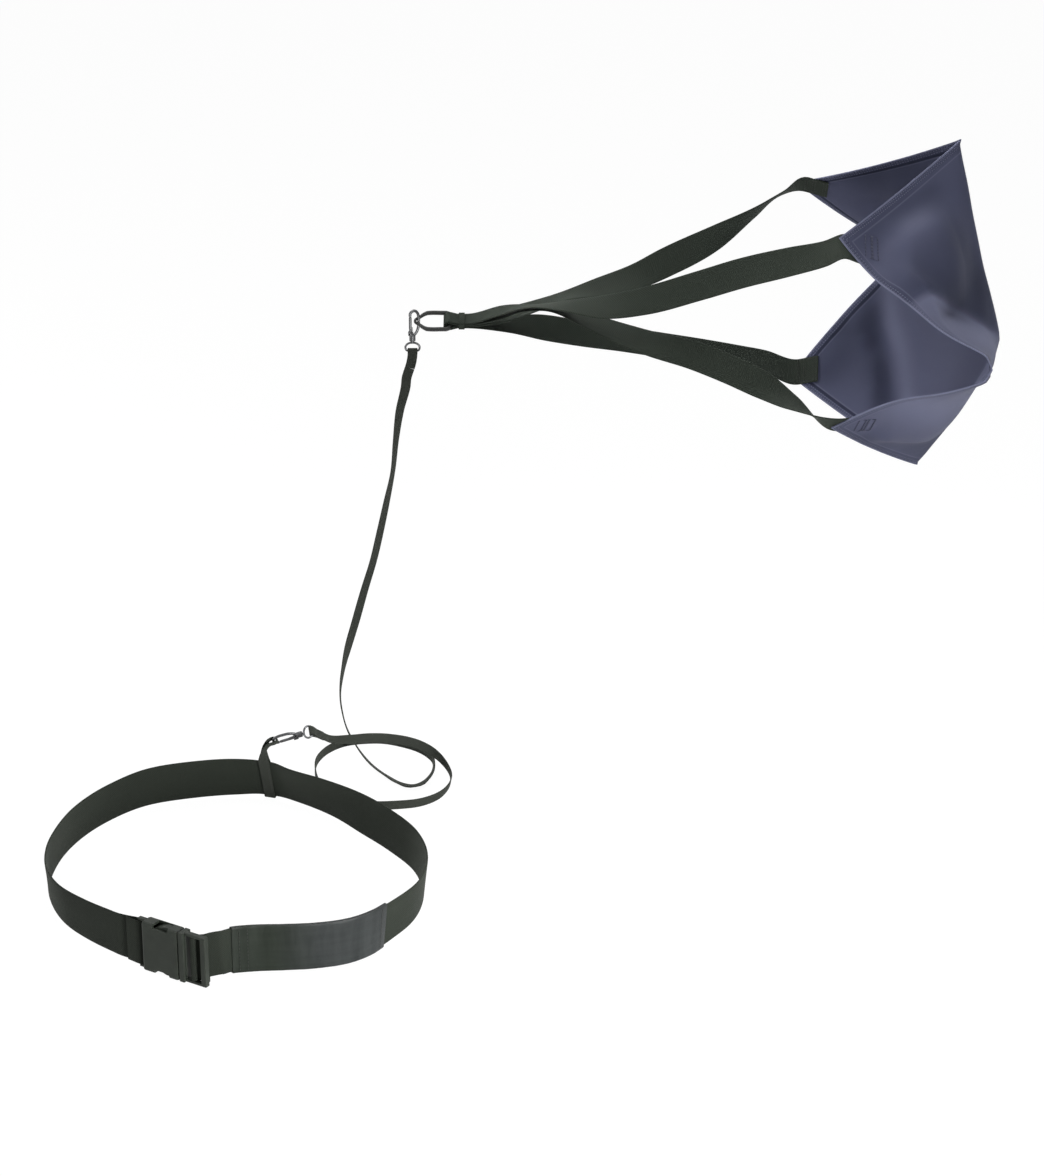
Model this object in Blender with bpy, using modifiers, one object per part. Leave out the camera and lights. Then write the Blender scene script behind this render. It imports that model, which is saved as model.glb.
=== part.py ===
"""Swim parachute: a waist belt, a tether with two swivel hooks, and a square drag chute on four straps.

Metres, +Z up. The origin is the centre of the belt's loop at half the height of its webbing.
The belt stands round the swimmer's waist, the tether leaves its back, and the chute lies towards +X.
"""

import math

import bpy
import bmesh
from mathutils import Matrix, Vector

OBJECT_NAME = "swim_parachute"

# Gaps between pieces
GAP = 0.0003
RUNNING_CLEARANCE = 0.00008

# Webbing and sheet
BELT_WIDTH = 0.046
BELT_THICKNESS = 0.0016
STRAP_WIDTH = 0.030
STRAP_THICKNESS = 0.0014
TETHER_WIDTH = 0.010
TETHER_THICKNESS = 0.0012
KEEPER_WIDTH = 0.012
KEEPER_THICKNESS = 0.0014
KEEPER_SLACK = 0.0006
KEEPER_BUNCHED = 0.0046
CANOPY_THICKNESS = 0.0008
SLEEVE_WALL = 0.0006
SLEEVE_SLACK = 0.0004

# Buckle
BUCKLE_MARGIN = 0.003
BUCKLE_DEPTH = 0.014
FEMALE_LENGTH = 0.044
MALE_LENGTH = 0.0295
BUCKLE_WALL = 0.0024
BAR_RADIUS = 0.0020
SLOT_MARGIN = 0.0004
PRONG_ARM = 0.0035
PRONG_OFFSET = 0.0172
WINDOW_START = 0.015
WINDOW_END = 0.033
WINDOW_NOTCH = 0.0042
MOUTH_GAP = 0.0006

# Swivel hook
HOOK_WIRE = 0.00150
GATE_WIRE = 0.00150
SPRING_WIRE = 0.0003
HOOK_HEIGHT = 0.0330
HOOK_REACH = 0.0074
GATE_REACH = 0.0022
BOW_X = 0.0024
NOSE_DROP = 0.0066
BARREL_RADIUS = 0.0032
BARREL_HEIGHT = 0.0066
STEM_RADIUS = 0.0012
HEAD_RADIUS = 0.0021
HEAD_HEIGHT = 0.0016
PIN_RADIUS = 0.0007
GATE_HALF = 0.0016
EAR_THICKNESS = 0.0010
EYE_WIRE = 0.0011
EYE_DEPTH = 0.0102

# Ring between the upper hook and the straps
RING_BAR = 0.0023
RING_NOSE = 0.0015
RING_LENGTH = 0.0345
RING_HALF = 0.0120
STRAP_BUNCHED = 0.0150
STRAP_GAP = 0.0005

# Places in the photographed arrangement
BUCKLE_PLACE = Vector((-0.0725, -0.1650, 0.0020))
BUCKLE_HEADING = math.radians(-32)
UPPER_HOOK_PLACE = Vector((0.1737, 0.2400, 0.4727))
UPPER_HOOK_TURN = math.radians(30)
LOWER_HOOK_PLACE = Vector((0.0535, 0.1950, 0.0553))
LOWER_HOOK_AIM = Vector((-0.950, 0.0, -0.310))
RING_ON_SPINE = 0.0200

X_AXIS = Vector((1, 0, 0))
Y_AXIS = Vector((0, 1, 0))
Z_AXIS = Vector((0, 0, 1))

# The belt's centre line from the buckle's female half round the waist to the sleeve: x, y, lift, lean.
BELT_ROUTE = [
    (-0.0970, -0.1495, 0.0018, -0.001),
    (-0.1100, -0.1385, 0.0012, -0.002),
    (-0.1355, -0.1150, 0.0002, -0.004),
    (-0.1620, -0.0850, 0.0000, -0.006),
    (-0.1800, -0.0480, 0.0000, -0.005),
    (-0.1885, -0.0050, 0.0000, 0.000),
    (-0.1870, 0.0350, 0.0000, 0.003),
    (-0.1755, 0.0870, 0.0000, 0.005),
    (-0.1455, 0.1440, 0.0000, 0.007),
    (-0.1120, 0.1795, 0.0000, 0.007),
    (-0.0630, 0.1990, 0.0000, 0.007),
    (-0.0200, 0.2040, 0.0010, 0.009),
    (0.0075, 0.2007, 0.0020, 0.014),
    (0.0150, 0.1982, 0.0020, 0.014),
    (0.0225, 0.1957, 0.0020, 0.014),
    (0.0450, 0.1815, 0.0008, 0.017),
    (0.0790, 0.1575, 0.0000, 0.011),
    (0.1190, 0.1170, 0.0000, -0.001),
    (0.1500, 0.0780, 0.0000, -0.003),
    (0.1780, 0.0300, 0.0000, -0.003),
    (0.1890, -0.0250, 0.0000, -0.005),
    (0.1800, -0.0800, 0.0000, -0.007),
    (0.1610, -0.1140, 0.0000, -0.006),
    (0.1525, -0.1265, 0.0000, -0.005),
]
KEEPER_ROW = 13
SLEEVE_ROWS_BEFORE = 1

# The belt's front stretch, in the sleeve, on to the buckle's male half.
FRONT_ROUTE = [
    (0.1435, -0.1390, 0.0000, -0.004),
    (0.1220, -0.1570, 0.0000, -0.003),
    (0.0900, -0.1675, 0.0000, -0.002),
    (0.0600, -0.1715, 0.0004, -0.001),
    (0.0310, -0.1745, 0.0010, 0.000),
    (0.0105, -0.1800, 0.0018, 0.000),
]

# The tether's free stretch from the lower eye to the upper eye: x, y, z, roll of its width in degrees.
TETHER_ROUTE = [
    (0.1020, 0.2200, 0.0375, 40),
    (0.1222, 0.2400, 0.0300, 20),
    (0.1427, 0.2570, 0.0215, 8),
    (0.1618, 0.2660, 0.0140, 4),
    (0.1750, 0.2740, 0.0055, 0),
    (0.1872, 0.2782, -0.0040, 0),
    (0.1945, 0.2760, -0.0090, 0),
    (0.2015, 0.2690, -0.0140, 0),
    (0.2070, 0.2560, -0.0175, 0),
    (0.2086, 0.2400, -0.0182, 10),
    (0.2058, 0.2190, -0.0182, 14),
    (0.1957, 0.1970, -0.0182, 10),
    (0.1770, 0.1812, -0.0182, 4),
    (0.1519, 0.1750, -0.0182, 0),
    (0.1266, 0.1740, -0.0182, 0),
    (0.0976, 0.1824, -0.0182, 0),
    (0.0748, 0.2093, -0.0182, 0),
    (0.0626, 0.2492, -0.0182, 0),
    (0.0622, 0.2901, -0.0182, 0),
    (0.0737, 0.3174, -0.0182, 0),
    (0.0893, 0.3332, -0.0182, 0),
    (0.1110, 0.3400, -0.0182, 0),
    (0.1320, 0.3400, -0.0182, 0),
    (0.1523, 0.3320, -0.0184, 4),
    (0.1659, 0.3240, -0.0187, 8),
    (0.1795, 0.3100, -0.0190, 14),
    (0.1877, 0.2920, -0.0198, 26),
    (0.1888, 0.2752, -0.0205, 40),
    (0.1866, 0.2580, -0.0210, 55),
    (0.1812, 0.2420, -0.0212, 66),
    (0.1740, 0.2310, -0.0213, 72),
    (0.1655, 0.2280, -0.0213, 74),
    (0.1527, 0.2360, -0.0213, 75),
    (0.1391, 0.2530, -0.0213, 76),
    (0.1240, 0.2755, -0.0208, 76),
    (0.1119, 0.2985, -0.0188, 76),
    (0.1030, 0.3130, -0.0130, 72),
    (0.0945, 0.3180, 0.0010, 60),
    (0.0885, 0.3130, 0.0280, 30),
    (0.0872, 0.3071, 0.0481, 4),
    (0.0891, 0.3029, 0.0701, 14),
    (0.0925, 0.2994, 0.0893, 26),
    (0.0968, 0.2960, 0.1084, 46),
    (0.1071, 0.2895, 0.1460, 58),
    (0.1172, 0.2834, 0.1831, 54),
    (0.1278, 0.2774, 0.2196, 48),
    (0.1361, 0.2717, 0.2557, 46),
    (0.1437, 0.2661, 0.2913, 38),
    (0.1508, 0.2607, 0.3265, 25),
    (0.1546, 0.2554, 0.3613, 34),
    (0.1595, 0.2502, 0.3957, 58),
    (0.1660, 0.2445, 0.4230, 80),
]

# Canopy: the four strapped corners, the four edge middles and the middle of the sheet.
CORNER = {
    "upper_far": Vector((0.572, 0.387, 0.601)),
    "upper_near": Vector((0.592, 0.138, 0.608)),
    "lower_far": Vector((0.576, 0.415, 0.379)),
    "lower_near": Vector((0.591, 0.131, 0.416)),
}
EDGE_MIDDLE = {
    "top": Vector((0.725, 0.274, 0.673)),
    "near": Vector((0.732, 0.040, 0.506)),
    "bottom": Vector((0.697, 0.270, 0.329)),
    "far": Vector((0.696, 0.438, 0.513)),
}
CANOPY_MIDDLE = Vector((0.767, 0.226, 0.480))
CORNER_EDGES = {
    "upper_far": ("top", "far"),
    "upper_near": ("near", "top"),
    "lower_far": ("far", "bottom"),
    "lower_near": ("bottom", "near"),
}

# How far the hems, and the folds from the middle of the sheet, bow away from straight half-way along.
HEM_BOW = {
    ("upper_far", "top"): Vector((0.000, 0.000, -0.004)),
    ("upper_near", "top"): Vector((0.000, 0.000, -0.002)),
    ("upper_near", "near"): Vector((-0.005, 0.000, -0.010)),
    ("lower_near", "near"): Vector((0.000, 0.000, 0.006)),
    ("lower_near", "bottom"): Vector((0.000, 0.000, -0.003)),
    ("lower_far", "bottom"): Vector((0.000, 0.000, -0.003)),
    ("lower_far", "far"): Vector((-0.001, 0.006, 0.002)),
    ("upper_far", "far"): Vector((-0.002, 0.006, -0.004)),
}
FOLD_BOW = {
    "top": Vector((-0.001, 0.000, 0.000)),
    "near": Vector((-0.001, 0.000, -0.016)),
    "bottom": Vector((0.007, 0.000, -0.003)),
    "far": Vector((0.010, 0.008, 0.000)),
}
CANOPY_STEPS = 9
CANOPY_BULGE = 0.012
STRAP_OVERLAP = 0.034
STRAP_SEAT = 0.0006

# How far each strap's end sits from its corner's diagonal, as a share of the way to its first hem's middle.
STRAP_SHIFT = {"upper_far": 0.010, "upper_near": 0.020, "lower_far": 0.012, "lower_near": -0.008}

# Each strap leg from the ring's tack to its corner: x, y, z, roll of its width in degrees.
LEG_ROUTE = {
    "upper_near": [
        (0.2630, 0.2330, 0.5065, 76),
        (0.2990, 0.2180, 0.5160, 98),
        (0.3310, 0.2060, 0.5200, 82),
        (0.3690, 0.1920, 0.5230, 52),
        (0.4070, 0.1800, 0.5325, 36),
        (0.4600, 0.1670, 0.5518, 27),
        (0.5010, 0.1580, 0.5672, 25),
        (0.5460, 0.1470, 0.5815, 34),
        (0.5790, 0.1400, 0.5915, 48),
    ],
    "lower_near": [
        (0.2630, 0.2370, 0.5005, 82),
        (0.2900, 0.2300, 0.5090, 97),
        (0.3140, 0.2230, 0.5120, 96),
        (0.3510, 0.2130, 0.5025, 80),
        (0.3810, 0.2050, 0.4925, 66),
        (0.4130, 0.1950, 0.4840, 53),
        (0.4570, 0.1830, 0.4750, 36),
        (0.4920, 0.1710, 0.4640, 36),
        (0.5250, 0.1590, 0.4510, 48),
        (0.5500, 0.1480, 0.4385, 78),
    ],
    "upper_far": [
        (0.2630, 0.2550, 0.4945, 70),
        (0.2990, 0.2670, 0.5020, 88),
        (0.3240, 0.2760, 0.5080, 92),
        (0.3650, 0.2910, 0.5145, 69),
        (0.4070, 0.3080, 0.5230, 49),
        (0.4340, 0.3200, 0.5330, 28),
        (0.4860, 0.3430, 0.5530, -8),
        (0.5300, 0.3650, 0.5755, -46),
        (0.5580, 0.3800, 0.5915, -62),
    ],
    "lower_far": [
        (0.2630, 0.2560, 0.4850, 66),
        (0.3040, 0.2790, 0.4755, 42),
        (0.3450, 0.3010, 0.4625, 38),
        (0.3870, 0.3230, 0.4500, 40),
        (0.4360, 0.3480, 0.4345, 39),
        (0.4740, 0.3670, 0.4225, 37),
        (0.5220, 0.3890, 0.4075, 38),
        (0.5480, 0.4020, 0.3990, 42),
    ],
}


def clear_scene():
    for old in list(bpy.data.objects):
        bpy.data.objects.remove(old, do_unlink=True)


def new_collection(name):
    collection = bpy.data.collections.new(name)
    bpy.context.scene.collection.children.link(collection)
    return collection


def new_material(name, colour, roughness, metallic=0.0):
    material = bpy.data.materials.new(name)
    material.use_nodes = True
    shader = material.node_tree.nodes["Principled BSDF"]
    shader.inputs["Base Color"].default_value = (*colour, 1.0)
    shader.inputs["Roughness"].default_value = roughness
    shader.inputs["Metallic"].default_value = metallic
    return material


clear_scene()
PARTS = new_collection(OBJECT_NAME)
CUTTERS = new_collection("cutters")
WEBBING = new_material("webbing", (0.024, 0.028, 0.023), 0.75)
SATIN = new_material("satin", (0.018, 0.020, 0.024), 0.45)
PLASTIC = new_material("black_plastic", (0.030, 0.033, 0.030), 0.50)
METAL = new_material("gunmetal", (0.110, 0.112, 0.115), 0.35, 1.0)
SHEET = new_material("navy_sheet", (0.065, 0.070, 0.115), 0.50)


def add_object(name, mesh, material=None, cutter=False):
    thing = bpy.data.objects.new(name, mesh)
    if cutter:
        CUTTERS.objects.link(thing)
        thing.hide_render = True
        thing.display_type = "WIRE"
    else:
        PARTS.objects.link(thing)
    if material:
        mesh.materials.append(material)
    return thing


def smooth(thing, angle=35):
    thing.data.shade_smooth()
    thing.data.set_sharp_from_angle(angle=math.radians(angle))


def bevel(thing, width, segments=2):
    modifier = thing.modifiers.new("rounded", "BEVEL")
    modifier.width = width
    modifier.segments = segments
    modifier.limit_method = "ANGLE"


def boolean(thing, tool, operation):
    modifier = thing.modifiers.new(operation.lower(), "BOOLEAN")
    modifier.operation = operation
    modifier.solver = "EXACT"
    modifier.object = tool


def block(name, low, high, place, material=None, cutter=False, rounding=0.0):
    """A box between two corners of a local frame."""
    build = bmesh.new()
    bmesh.ops.create_cube(build, size=1.0)
    low, high = Vector(low), Vector(high)
    size = high - low
    bmesh.ops.scale(build, vec=size, verts=build.verts)
    bmesh.ops.translate(build, vec=(low + high) / 2, verts=build.verts)
    mesh = bpy.data.meshes.new(name)
    build.to_mesh(mesh)
    build.free()
    thing = add_object(name, mesh, material, cutter)
    thing.matrix_world = place
    if rounding:
        bevel(thing, rounding)
    return thing


def rod(name, start, end, radius, place, material=None, cutter=False, sides=16):
    """A straight round bar between two points of a local frame."""
    start, end = Vector(start), Vector(end)
    axis = end - start
    build = bmesh.new()
    bmesh.ops.create_cone(
        build, cap_ends=True, segments=sides, radius1=radius, radius2=radius, depth=axis.length
    )
    turn = axis.to_track_quat("Z", "Y").to_matrix().to_4x4()
    bmesh.ops.transform(build, matrix=Matrix.Translation((start + end) / 2) @ turn, verts=build.verts)
    mesh = bpy.data.meshes.new(name)
    build.to_mesh(mesh)
    build.free()
    thing = add_object(name, mesh, material, cutter)
    thing.matrix_world = place
    smooth(thing)
    return thing


def turned(name, profile, place, material=None, cutter=False, steps=24):
    """A turned piece from a profile of (radius, height) that runs down its outer side."""
    mesh = bpy.data.meshes.new(name)
    points = [(radius, 0.0, height) for radius, height in profile]
    mesh.from_pydata(points, [(i, i + 1) for i in range(len(points) - 1)], [])
    thing = add_object(name, mesh, material, cutter)
    thing.matrix_world = place
    screw = thing.modifiers.new("turned", "SCREW")
    screw.steps = steps
    screw.render_steps = steps
    screw.use_merge_vertices = True
    screw.merge_threshold = 0.00001
    return thing


def wire(name, points, place, radius, material=None, cutter=False, radii=None, closed=False):
    """A round wire along points of a local frame, as a closed mesh."""
    curve = bpy.data.curves.new(name, "CURVE")
    curve.dimensions = "3D"
    curve.bevel_depth = radius
    curve.bevel_resolution = 3
    curve.use_fill_caps = True
    path = curve.splines.new("POLY")
    path.points.add(len(points) - 1)
    for index, point in enumerate(points):
        path.points[index].co = (*point[:3], 1.0)
        path.points[index].radius = radii[index] / radius if radii else 1.0
    path.use_cyclic_u = closed
    drawn = bpy.data.objects.new(name + "_curve", curve)
    PARTS.objects.link(drawn)
    drawn.matrix_world = place
    bpy.context.view_layer.update()
    graph = bpy.context.evaluated_depsgraph_get()
    mesh = bpy.data.meshes.new_from_object(drawn.evaluated_get(graph))
    mesh.name = name
    build = bmesh.new()
    build.from_mesh(mesh)
    bmesh.ops.remove_doubles(build, verts=build.verts, dist=0.00001)
    build.to_mesh(mesh)
    build.free()
    bpy.data.objects.remove(drawn, do_unlink=True)
    thing = add_object(name, mesh, material, cutter)
    thing.matrix_world = place
    smooth(thing, 50)
    return thing


def spline(rows, spacing, closed=False):
    """Samples, about spacing apart, of a smooth curve through rows that start with x, y, z.

    Each sample has the rows' values and then its own row number.
    """
    rows = [tuple(row) for row in rows]
    count = len(rows)
    spans = count if closed else count - 1
    samples = []
    for span in range(spans):
        before = rows[(span - 1) % count] if closed or span > 0 else None
        start, end = rows[span % count], rows[(span + 1) % count]
        after = rows[(span + 2) % count] if closed or span + 2 < count else None
        before = before or tuple(2 * a - b for a, b in zip(start, end))
        after = after or tuple(2 * b - a for a, b in zip(start, end))
        length = math.dist(start[:3], end[:3])
        near = max(math.dist(before[:3], start[:3]), 1e-6)
        far = max(math.dist(end[:3], after[:3]), 1e-6)
        steps = max(1, round(length / spacing))
        for step in range(steps):
            t = step / steps
            samples.append((*hermite(before, start, end, after, near, length, far, t), span + t))
    if not closed:
        samples.append((*rows[-1], count - 1))
    return samples


def hermite(before, start, end, after, near, length, far, t):
    """One point of a cubic whose slopes are weighed by the chords on both sides."""
    row = []
    for p0, p1, p2, p3 in zip(before, start, end, after):
        slope_in = ((p1 - p0) / near * length + (p2 - p1) / length * near) / (near + length) * length
        slope_out = ((p2 - p1) / length * far + (p3 - p2) / far * length) / (length + far) * length
        row.append(
            (2 * t**3 - 3 * t**2 + 1) * p1
            + (t**3 - 2 * t**2 + t) * slope_in
            + (-2 * t**3 + 3 * t**2) * p2
            + (t**3 - t**2) * slope_out
        )
    return tuple(row)


def tangents(points, closed=False):
    count = len(points)
    result = []
    for index in range(count):
        ahead = points[(index + 1) % count] if closed else points[min(index + 1, count - 1)]
        behind = points[index - 1] if closed else points[max(index - 1, 0)]
        result.append((ahead - behind).normalized())
    return result


def ribbon(name, centres, halves, thickness, material, closed=False):
    """Flat webbing: centres along its middle, and from each the vector to its upper edge."""
    vertices = []
    for centre, half in zip(centres, halves):
        vertices += [centre - half, centre + half]
    count = len(centres)
    spans = count if closed else count - 1
    faces = []
    for index in range(spans):
        here, there = 2 * index, 2 * ((index + 1) % count)
        faces.append((here, there, there + 1, here + 1))
    mesh = bpy.data.meshes.new(name)
    mesh.from_pydata(vertices, [], faces)
    thing = add_object(name, mesh, material)
    solid = thing.modifiers.new("webbing thickness", "SOLIDIFY")
    solid.thickness = thickness
    solid.offset = 0.0
    solid.use_even_offset = True
    return thing


def square_to(direction, along):
    """The unit vector nearest to direction that is square to along."""
    return (direction - direction.dot(along) * along).normalized()


def rolled(along, degrees):
    """A width direction: straight up for 0 degrees, turned towards the far side by the roll."""
    along = along.normalized()
    up = square_to(Z_AXIS if abs(along.z) < 0.9 else Y_AXIS, along)
    side = up.cross(along)
    angle = math.radians(degrees)
    return math.cos(angle) * up + math.sin(angle) * side


def directed_rows(points, widths):
    """Rows for spline from points and their width vectors, each turned to agree with the one before."""
    rows = []
    last = None
    for point, width in zip(points, widths):
        if last and width.dot(last) < 0:
            width = -width
        rows.append((*point, *width))
        last = width
    return rows


def ribbon_from_rows(name, rows, spacing, thickness, material, closed=False):
    """Webbing along a spline of rows that hold a point and a half-width vector."""
    samples = spline(rows, spacing, closed)
    centres = [Vector(sample[:3]) for sample in samples]
    along = tangents(centres, closed)
    halves = []
    for sample, heading in zip(samples, along):
        half = Vector(sample[3:6])
        halves.append(square_to(half, heading) * half.length)
    return ribbon(name, centres, halves, thickness, material, closed)


def frame_from(place, x_axis, z_axis):
    """A matrix whose local axes are given by two directions."""
    z_axis = z_axis.normalized()
    x_axis = square_to(x_axis, z_axis)
    y_axis = z_axis.cross(x_axis)
    turn = Matrix((x_axis, y_axis, z_axis)).transposed().to_4x4()
    return Matrix.Translation(place) @ turn


BUCKLE = frame_from(
    BUCKLE_PLACE, Vector((math.cos(BUCKLE_HEADING), math.sin(BUCKLE_HEADING), 0)), Z_AXIS
)
UPPER_HOOK = frame_from(
    UPPER_HOOK_PLACE, Vector((math.cos(UPPER_HOOK_TURN), math.sin(UPPER_HOOK_TURN), 0)), Z_AXIS
)
LOWER_HOOK = frame_from(LOWER_HOOK_PLACE, Vector((-0.34, -0.50, 0.80)), LOWER_HOOK_AIM)
UPPER_EYE = frame_from(UPPER_HOOK_PLACE, X_AXIS, Z_AXIS)
LOWER_EYE = frame_from(LOWER_HOOK_PLACE, Vector((0.20, -0.80, -0.50)), LOWER_HOOK_AIM)

HALF_BELT = BELT_WIDTH / 2
BUCKLE_HALF = HALF_BELT + BUCKLE_MARGIN
BAR_X = -BAR_RADIUS * 2
BAR_WRAP = BAR_RADIUS + GAP + BELT_THICKNESS / 2
MALE_START = FEMALE_LENGTH + MOUTH_GAP
MALE_END = MALE_START + MALE_LENGTH
MIDDLE_BAR_X = MALE_START + 0.0142
FRAME_INNER = 0.0025
FRAME_OUTER = -0.0035
LAYER_ONE = FRAME_INNER + GAP + BELT_THICKNESS / 2
LAYER_TWO = LAYER_ONE + BELT_THICKNESS + GAP


def buckle_point(x, y, z=0.0):
    return BUCKLE @ Vector((x, y, z))


def arc(centre_x, centre_y, radius, start, end, count):
    """Points of an arc in the buckle's plan, angles in degrees."""
    points = []
    for index in range(count):
        angle = math.radians(start + (end - start) * index / (count - 1))
        points.append((centre_x + radius * math.cos(angle), centre_y + radius * math.sin(angle)))
    return points


def belt_half(lean, heading):
    """The half-width vector of the belt where it leans inward by a given amount over its height."""
    inward = Vector((heading.y, -heading.x, 0)).normalized()
    return HALF_BELT * (Z_AXIS + inward * lean / BELT_WIDTH)


def belt_fold():
    """The folded end round the female half's bar, in the buckle's plan."""
    end = BAR_X - 0.016
    rows = [(end, -0.0017), (BAR_X - 0.008, -0.0026)]
    rows += arc(BAR_X, 0.0, BAR_WRAP, -90, 90, 9)
    return rows + [(BAR_X - 0.008, 0.0022), (end, 0.0006)]


def belt_tail():
    """The way through the male half's bars and back into the sleeve, in the buckle's plan."""
    rows = [(MALE_END + 0.002, 0.0200, 0.0020), (MALE_END - 0.004, 0.0150, 0.0010)]
    rows += [(MIDDLE_BAR_X + 0.0055, 0.0090), (MIDDLE_BAR_X + 0.0010, LAYER_TWO - 0.0004)]
    rows += arc(MIDDLE_BAR_X, 0.0, BAR_WRAP, 135, 370, 12)
    rows += [(MIDDLE_BAR_X + 0.0052, 0.0026), (MIDDLE_BAR_X + 0.0095, LAYER_ONE)]
    return rows + [(MALE_END - 0.0040, LAYER_ONE), (MALE_END - 0.0010, LAYER_ONE + 0.0003)]


def belt_line():
    """The whole belt from fold to tail as (row number, centre, half-width vector, heading)."""
    rows = [(*buckle_point(*row), 0.0) for row in belt_fold()]
    rows += BELT_ROUTE + FRONT_ROUTE
    rows += [(*buckle_point(*row), 0.0) for row in belt_tail()]
    samples = spline(rows, 0.010)
    centres = [Vector(sample[:3]) for sample in samples]
    line = []
    for sample, centre, heading in zip(samples, centres, tangents(centres)):
        line.append((sample[-1], centre, belt_half(sample[3], heading), heading))
    return line


def keeper_place():
    """The belt's centre, half-width vector and heading where the keeper loop sits."""
    at = len(belt_fold()) + KEEPER_ROW
    return next(item[1:] for item in belt_line() if item[0] == at)


def make_belt():
    """The belt's webbing, in two lengths that meet inside the sleeve."""
    joint = len(belt_fold()) + len(BELT_ROUTE)
    line = belt_line()
    main = [item for item in line if item[0] <= joint]
    front = [item for item in line if item[0] >= joint]
    ribbon("belt_webbing", [item[1] for item in main], [item[2] for item in main], BELT_THICKNESS, WEBBING)
    centres = [item[1] for item in front]
    centres[0] = centres[0] + front[0][3] * GAP * 2
    ribbon("belt_adjuster_webbing", centres, [item[2] for item in front], BELT_THICKNESS, WEBBING)


def make_sleeve():
    """A flat cloth tube over the belt's front, open at both ends."""
    joint = len(belt_fold()) + len(BELT_ROUTE)
    start, end = joint - SLEEVE_ROWS_BEFORE, joint + len(FRONT_ROUTE) - 1
    covered = [item for item in belt_line() if start <= item[0] <= end]
    depth = BELT_THICKNESS / 2 + SLEEVE_SLACK + SLEEVE_WALL / 2
    height = HALF_BELT + SLEEVE_SLACK + SLEEVE_WALL
    section = [(-height, -depth), (0.0, -depth), (height, -depth), (height + depth / 2, 0.0)]
    section += [(height, depth), (0.0, depth), (-height, depth), (-height - depth / 2, 0.0)]
    vertices = []
    for _, centre, half, heading in covered:
        side = heading.cross(half).normalized()
        vertices += [centre + side * across + half / HALF_BELT * up for up, across in section]
    size = len(section)
    faces = []
    for ring in range(len(covered) - 1):
        for index in range(size):
            here = ring * size + index
            beside = ring * size + (index + 1) % size
            faces.append((here, beside, beside + size, here + size))
    mesh = bpy.data.meshes.new("belt_sleeve")
    mesh.from_pydata(vertices, [], faces)
    thing = add_object("belt_sleeve", mesh, SATIN)
    solid = thing.modifiers.new("cloth thickness", "SOLIDIFY")
    solid.thickness = SLEEVE_WALL
    solid.offset = 0.0


def make_female():
    """The socket half: a box open towards the male half, with side windows and a webbing bar."""
    half_depth = BUCKLE_DEPTH / 2
    inside = half_depth - BUCKLE_WALL
    body = block(
        "buckle_female", (0.0015, -half_depth, -BUCKLE_HALF), (FEMALE_LENGTH, half_depth, BUCKLE_HALF),
        BUCKLE, PLASTIC, rounding=0.0022,
    )
    slot_half = HALF_BELT + SLOT_MARGIN
    for side, label in ((-1, "lower"), (1, "upper")):
        low, high = sorted((side * slot_half, side * BUCKLE_HALF))
        arm = block(
            f"female_arm_{label}", (BAR_X - BAR_RADIUS, -0.0024, low), (0.004, 0.0024, high),
            BUCKLE, cutter=True, rounding=0.0006,
        )
        boolean(body, arm, "UNION")
    bar_half = slot_half + 0.0008
    bar = rod("female_bar", (BAR_X, 0, -bar_half), (BAR_X, 0, bar_half), BAR_RADIUS, BUCKLE, cutter=True)
    boolean(body, bar, "UNION")
    cavity_half = BUCKLE_HALF - BUCKLE_WALL
    cavity = block(
        "female_cavity", (0.006, -inside, -cavity_half), (FEMALE_LENGTH + 0.01, inside, cavity_half),
        BUCKLE, cutter=True,
    )
    boolean(body, cavity, "DIFFERENCE")
    window = block(
        "female_window", (WINDOW_START, -inside, -BUCKLE_HALF - 0.01),
        (WINDOW_END, inside, BUCKLE_HALF + 0.01), BUCKLE, cutter=True,
    )
    boolean(body, window, "DIFFERENCE")
    for side, label in ((-1, "lower"), (1, "upper")):
        low, high = sorted((side * (BUCKLE_HALF - WINDOW_NOTCH), side * (BUCKLE_HALF + 0.01)))
        notch = block(
            f"female_notch_{label}", (WINDOW_START, -half_depth - 0.001, low), (WINDOW_END, -inside + 0.001, high),
            BUCKLE, cutter=True,
        )
        boolean(body, notch, "DIFFERENCE")


def make_male():
    """The plug half: a collar, a frame with an adjuster bar and an end bar, and a centre tongue."""
    collar_half = BUCKLE_DEPTH / 2 - 0.0005
    body = block(
        "buckle_male", (MALE_START, -collar_half, -BUCKLE_HALF), (MALE_START + 0.0062, collar_half, BUCKLE_HALF),
        BUCKLE, PLASTIC, rounding=0.0010,
    )
    frame = block(
        "male_frame", (MALE_START + 0.003, FRAME_OUTER, -BUCKLE_HALF), (MALE_END, FRAME_INNER, BUCKLE_HALF),
        BUCKLE, cutter=True, rounding=0.0009,
    )
    boolean(body, frame, "UNION")
    slot_half = HALF_BELT + SLOT_MARGIN
    slot = block(
        "male_slot", (MALE_START + 0.0068, -0.02, -slot_half), (MALE_END - 0.0054, 0.02, slot_half),
        BUCKLE, cutter=True,
    )
    boolean(body, slot, "DIFFERENCE")
    bar = rod(
        "male_bar", (MIDDLE_BAR_X, 0, -BUCKLE_HALF + 0.0008), (MIDDLE_BAR_X, 0, BUCKLE_HALF - 0.0008),
        BAR_RADIUS, BUCKLE, cutter=True,
    )
    boolean(body, bar, "UNION")
    tongue = block(
        "male_tongue", (0.020, -0.0015, -0.0025), (MALE_START + 0.002, 0.0015, 0.0025), BUCKLE, cutter=True,
        rounding=0.0005,
    )
    boolean(body, tongue, "UNION")


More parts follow.
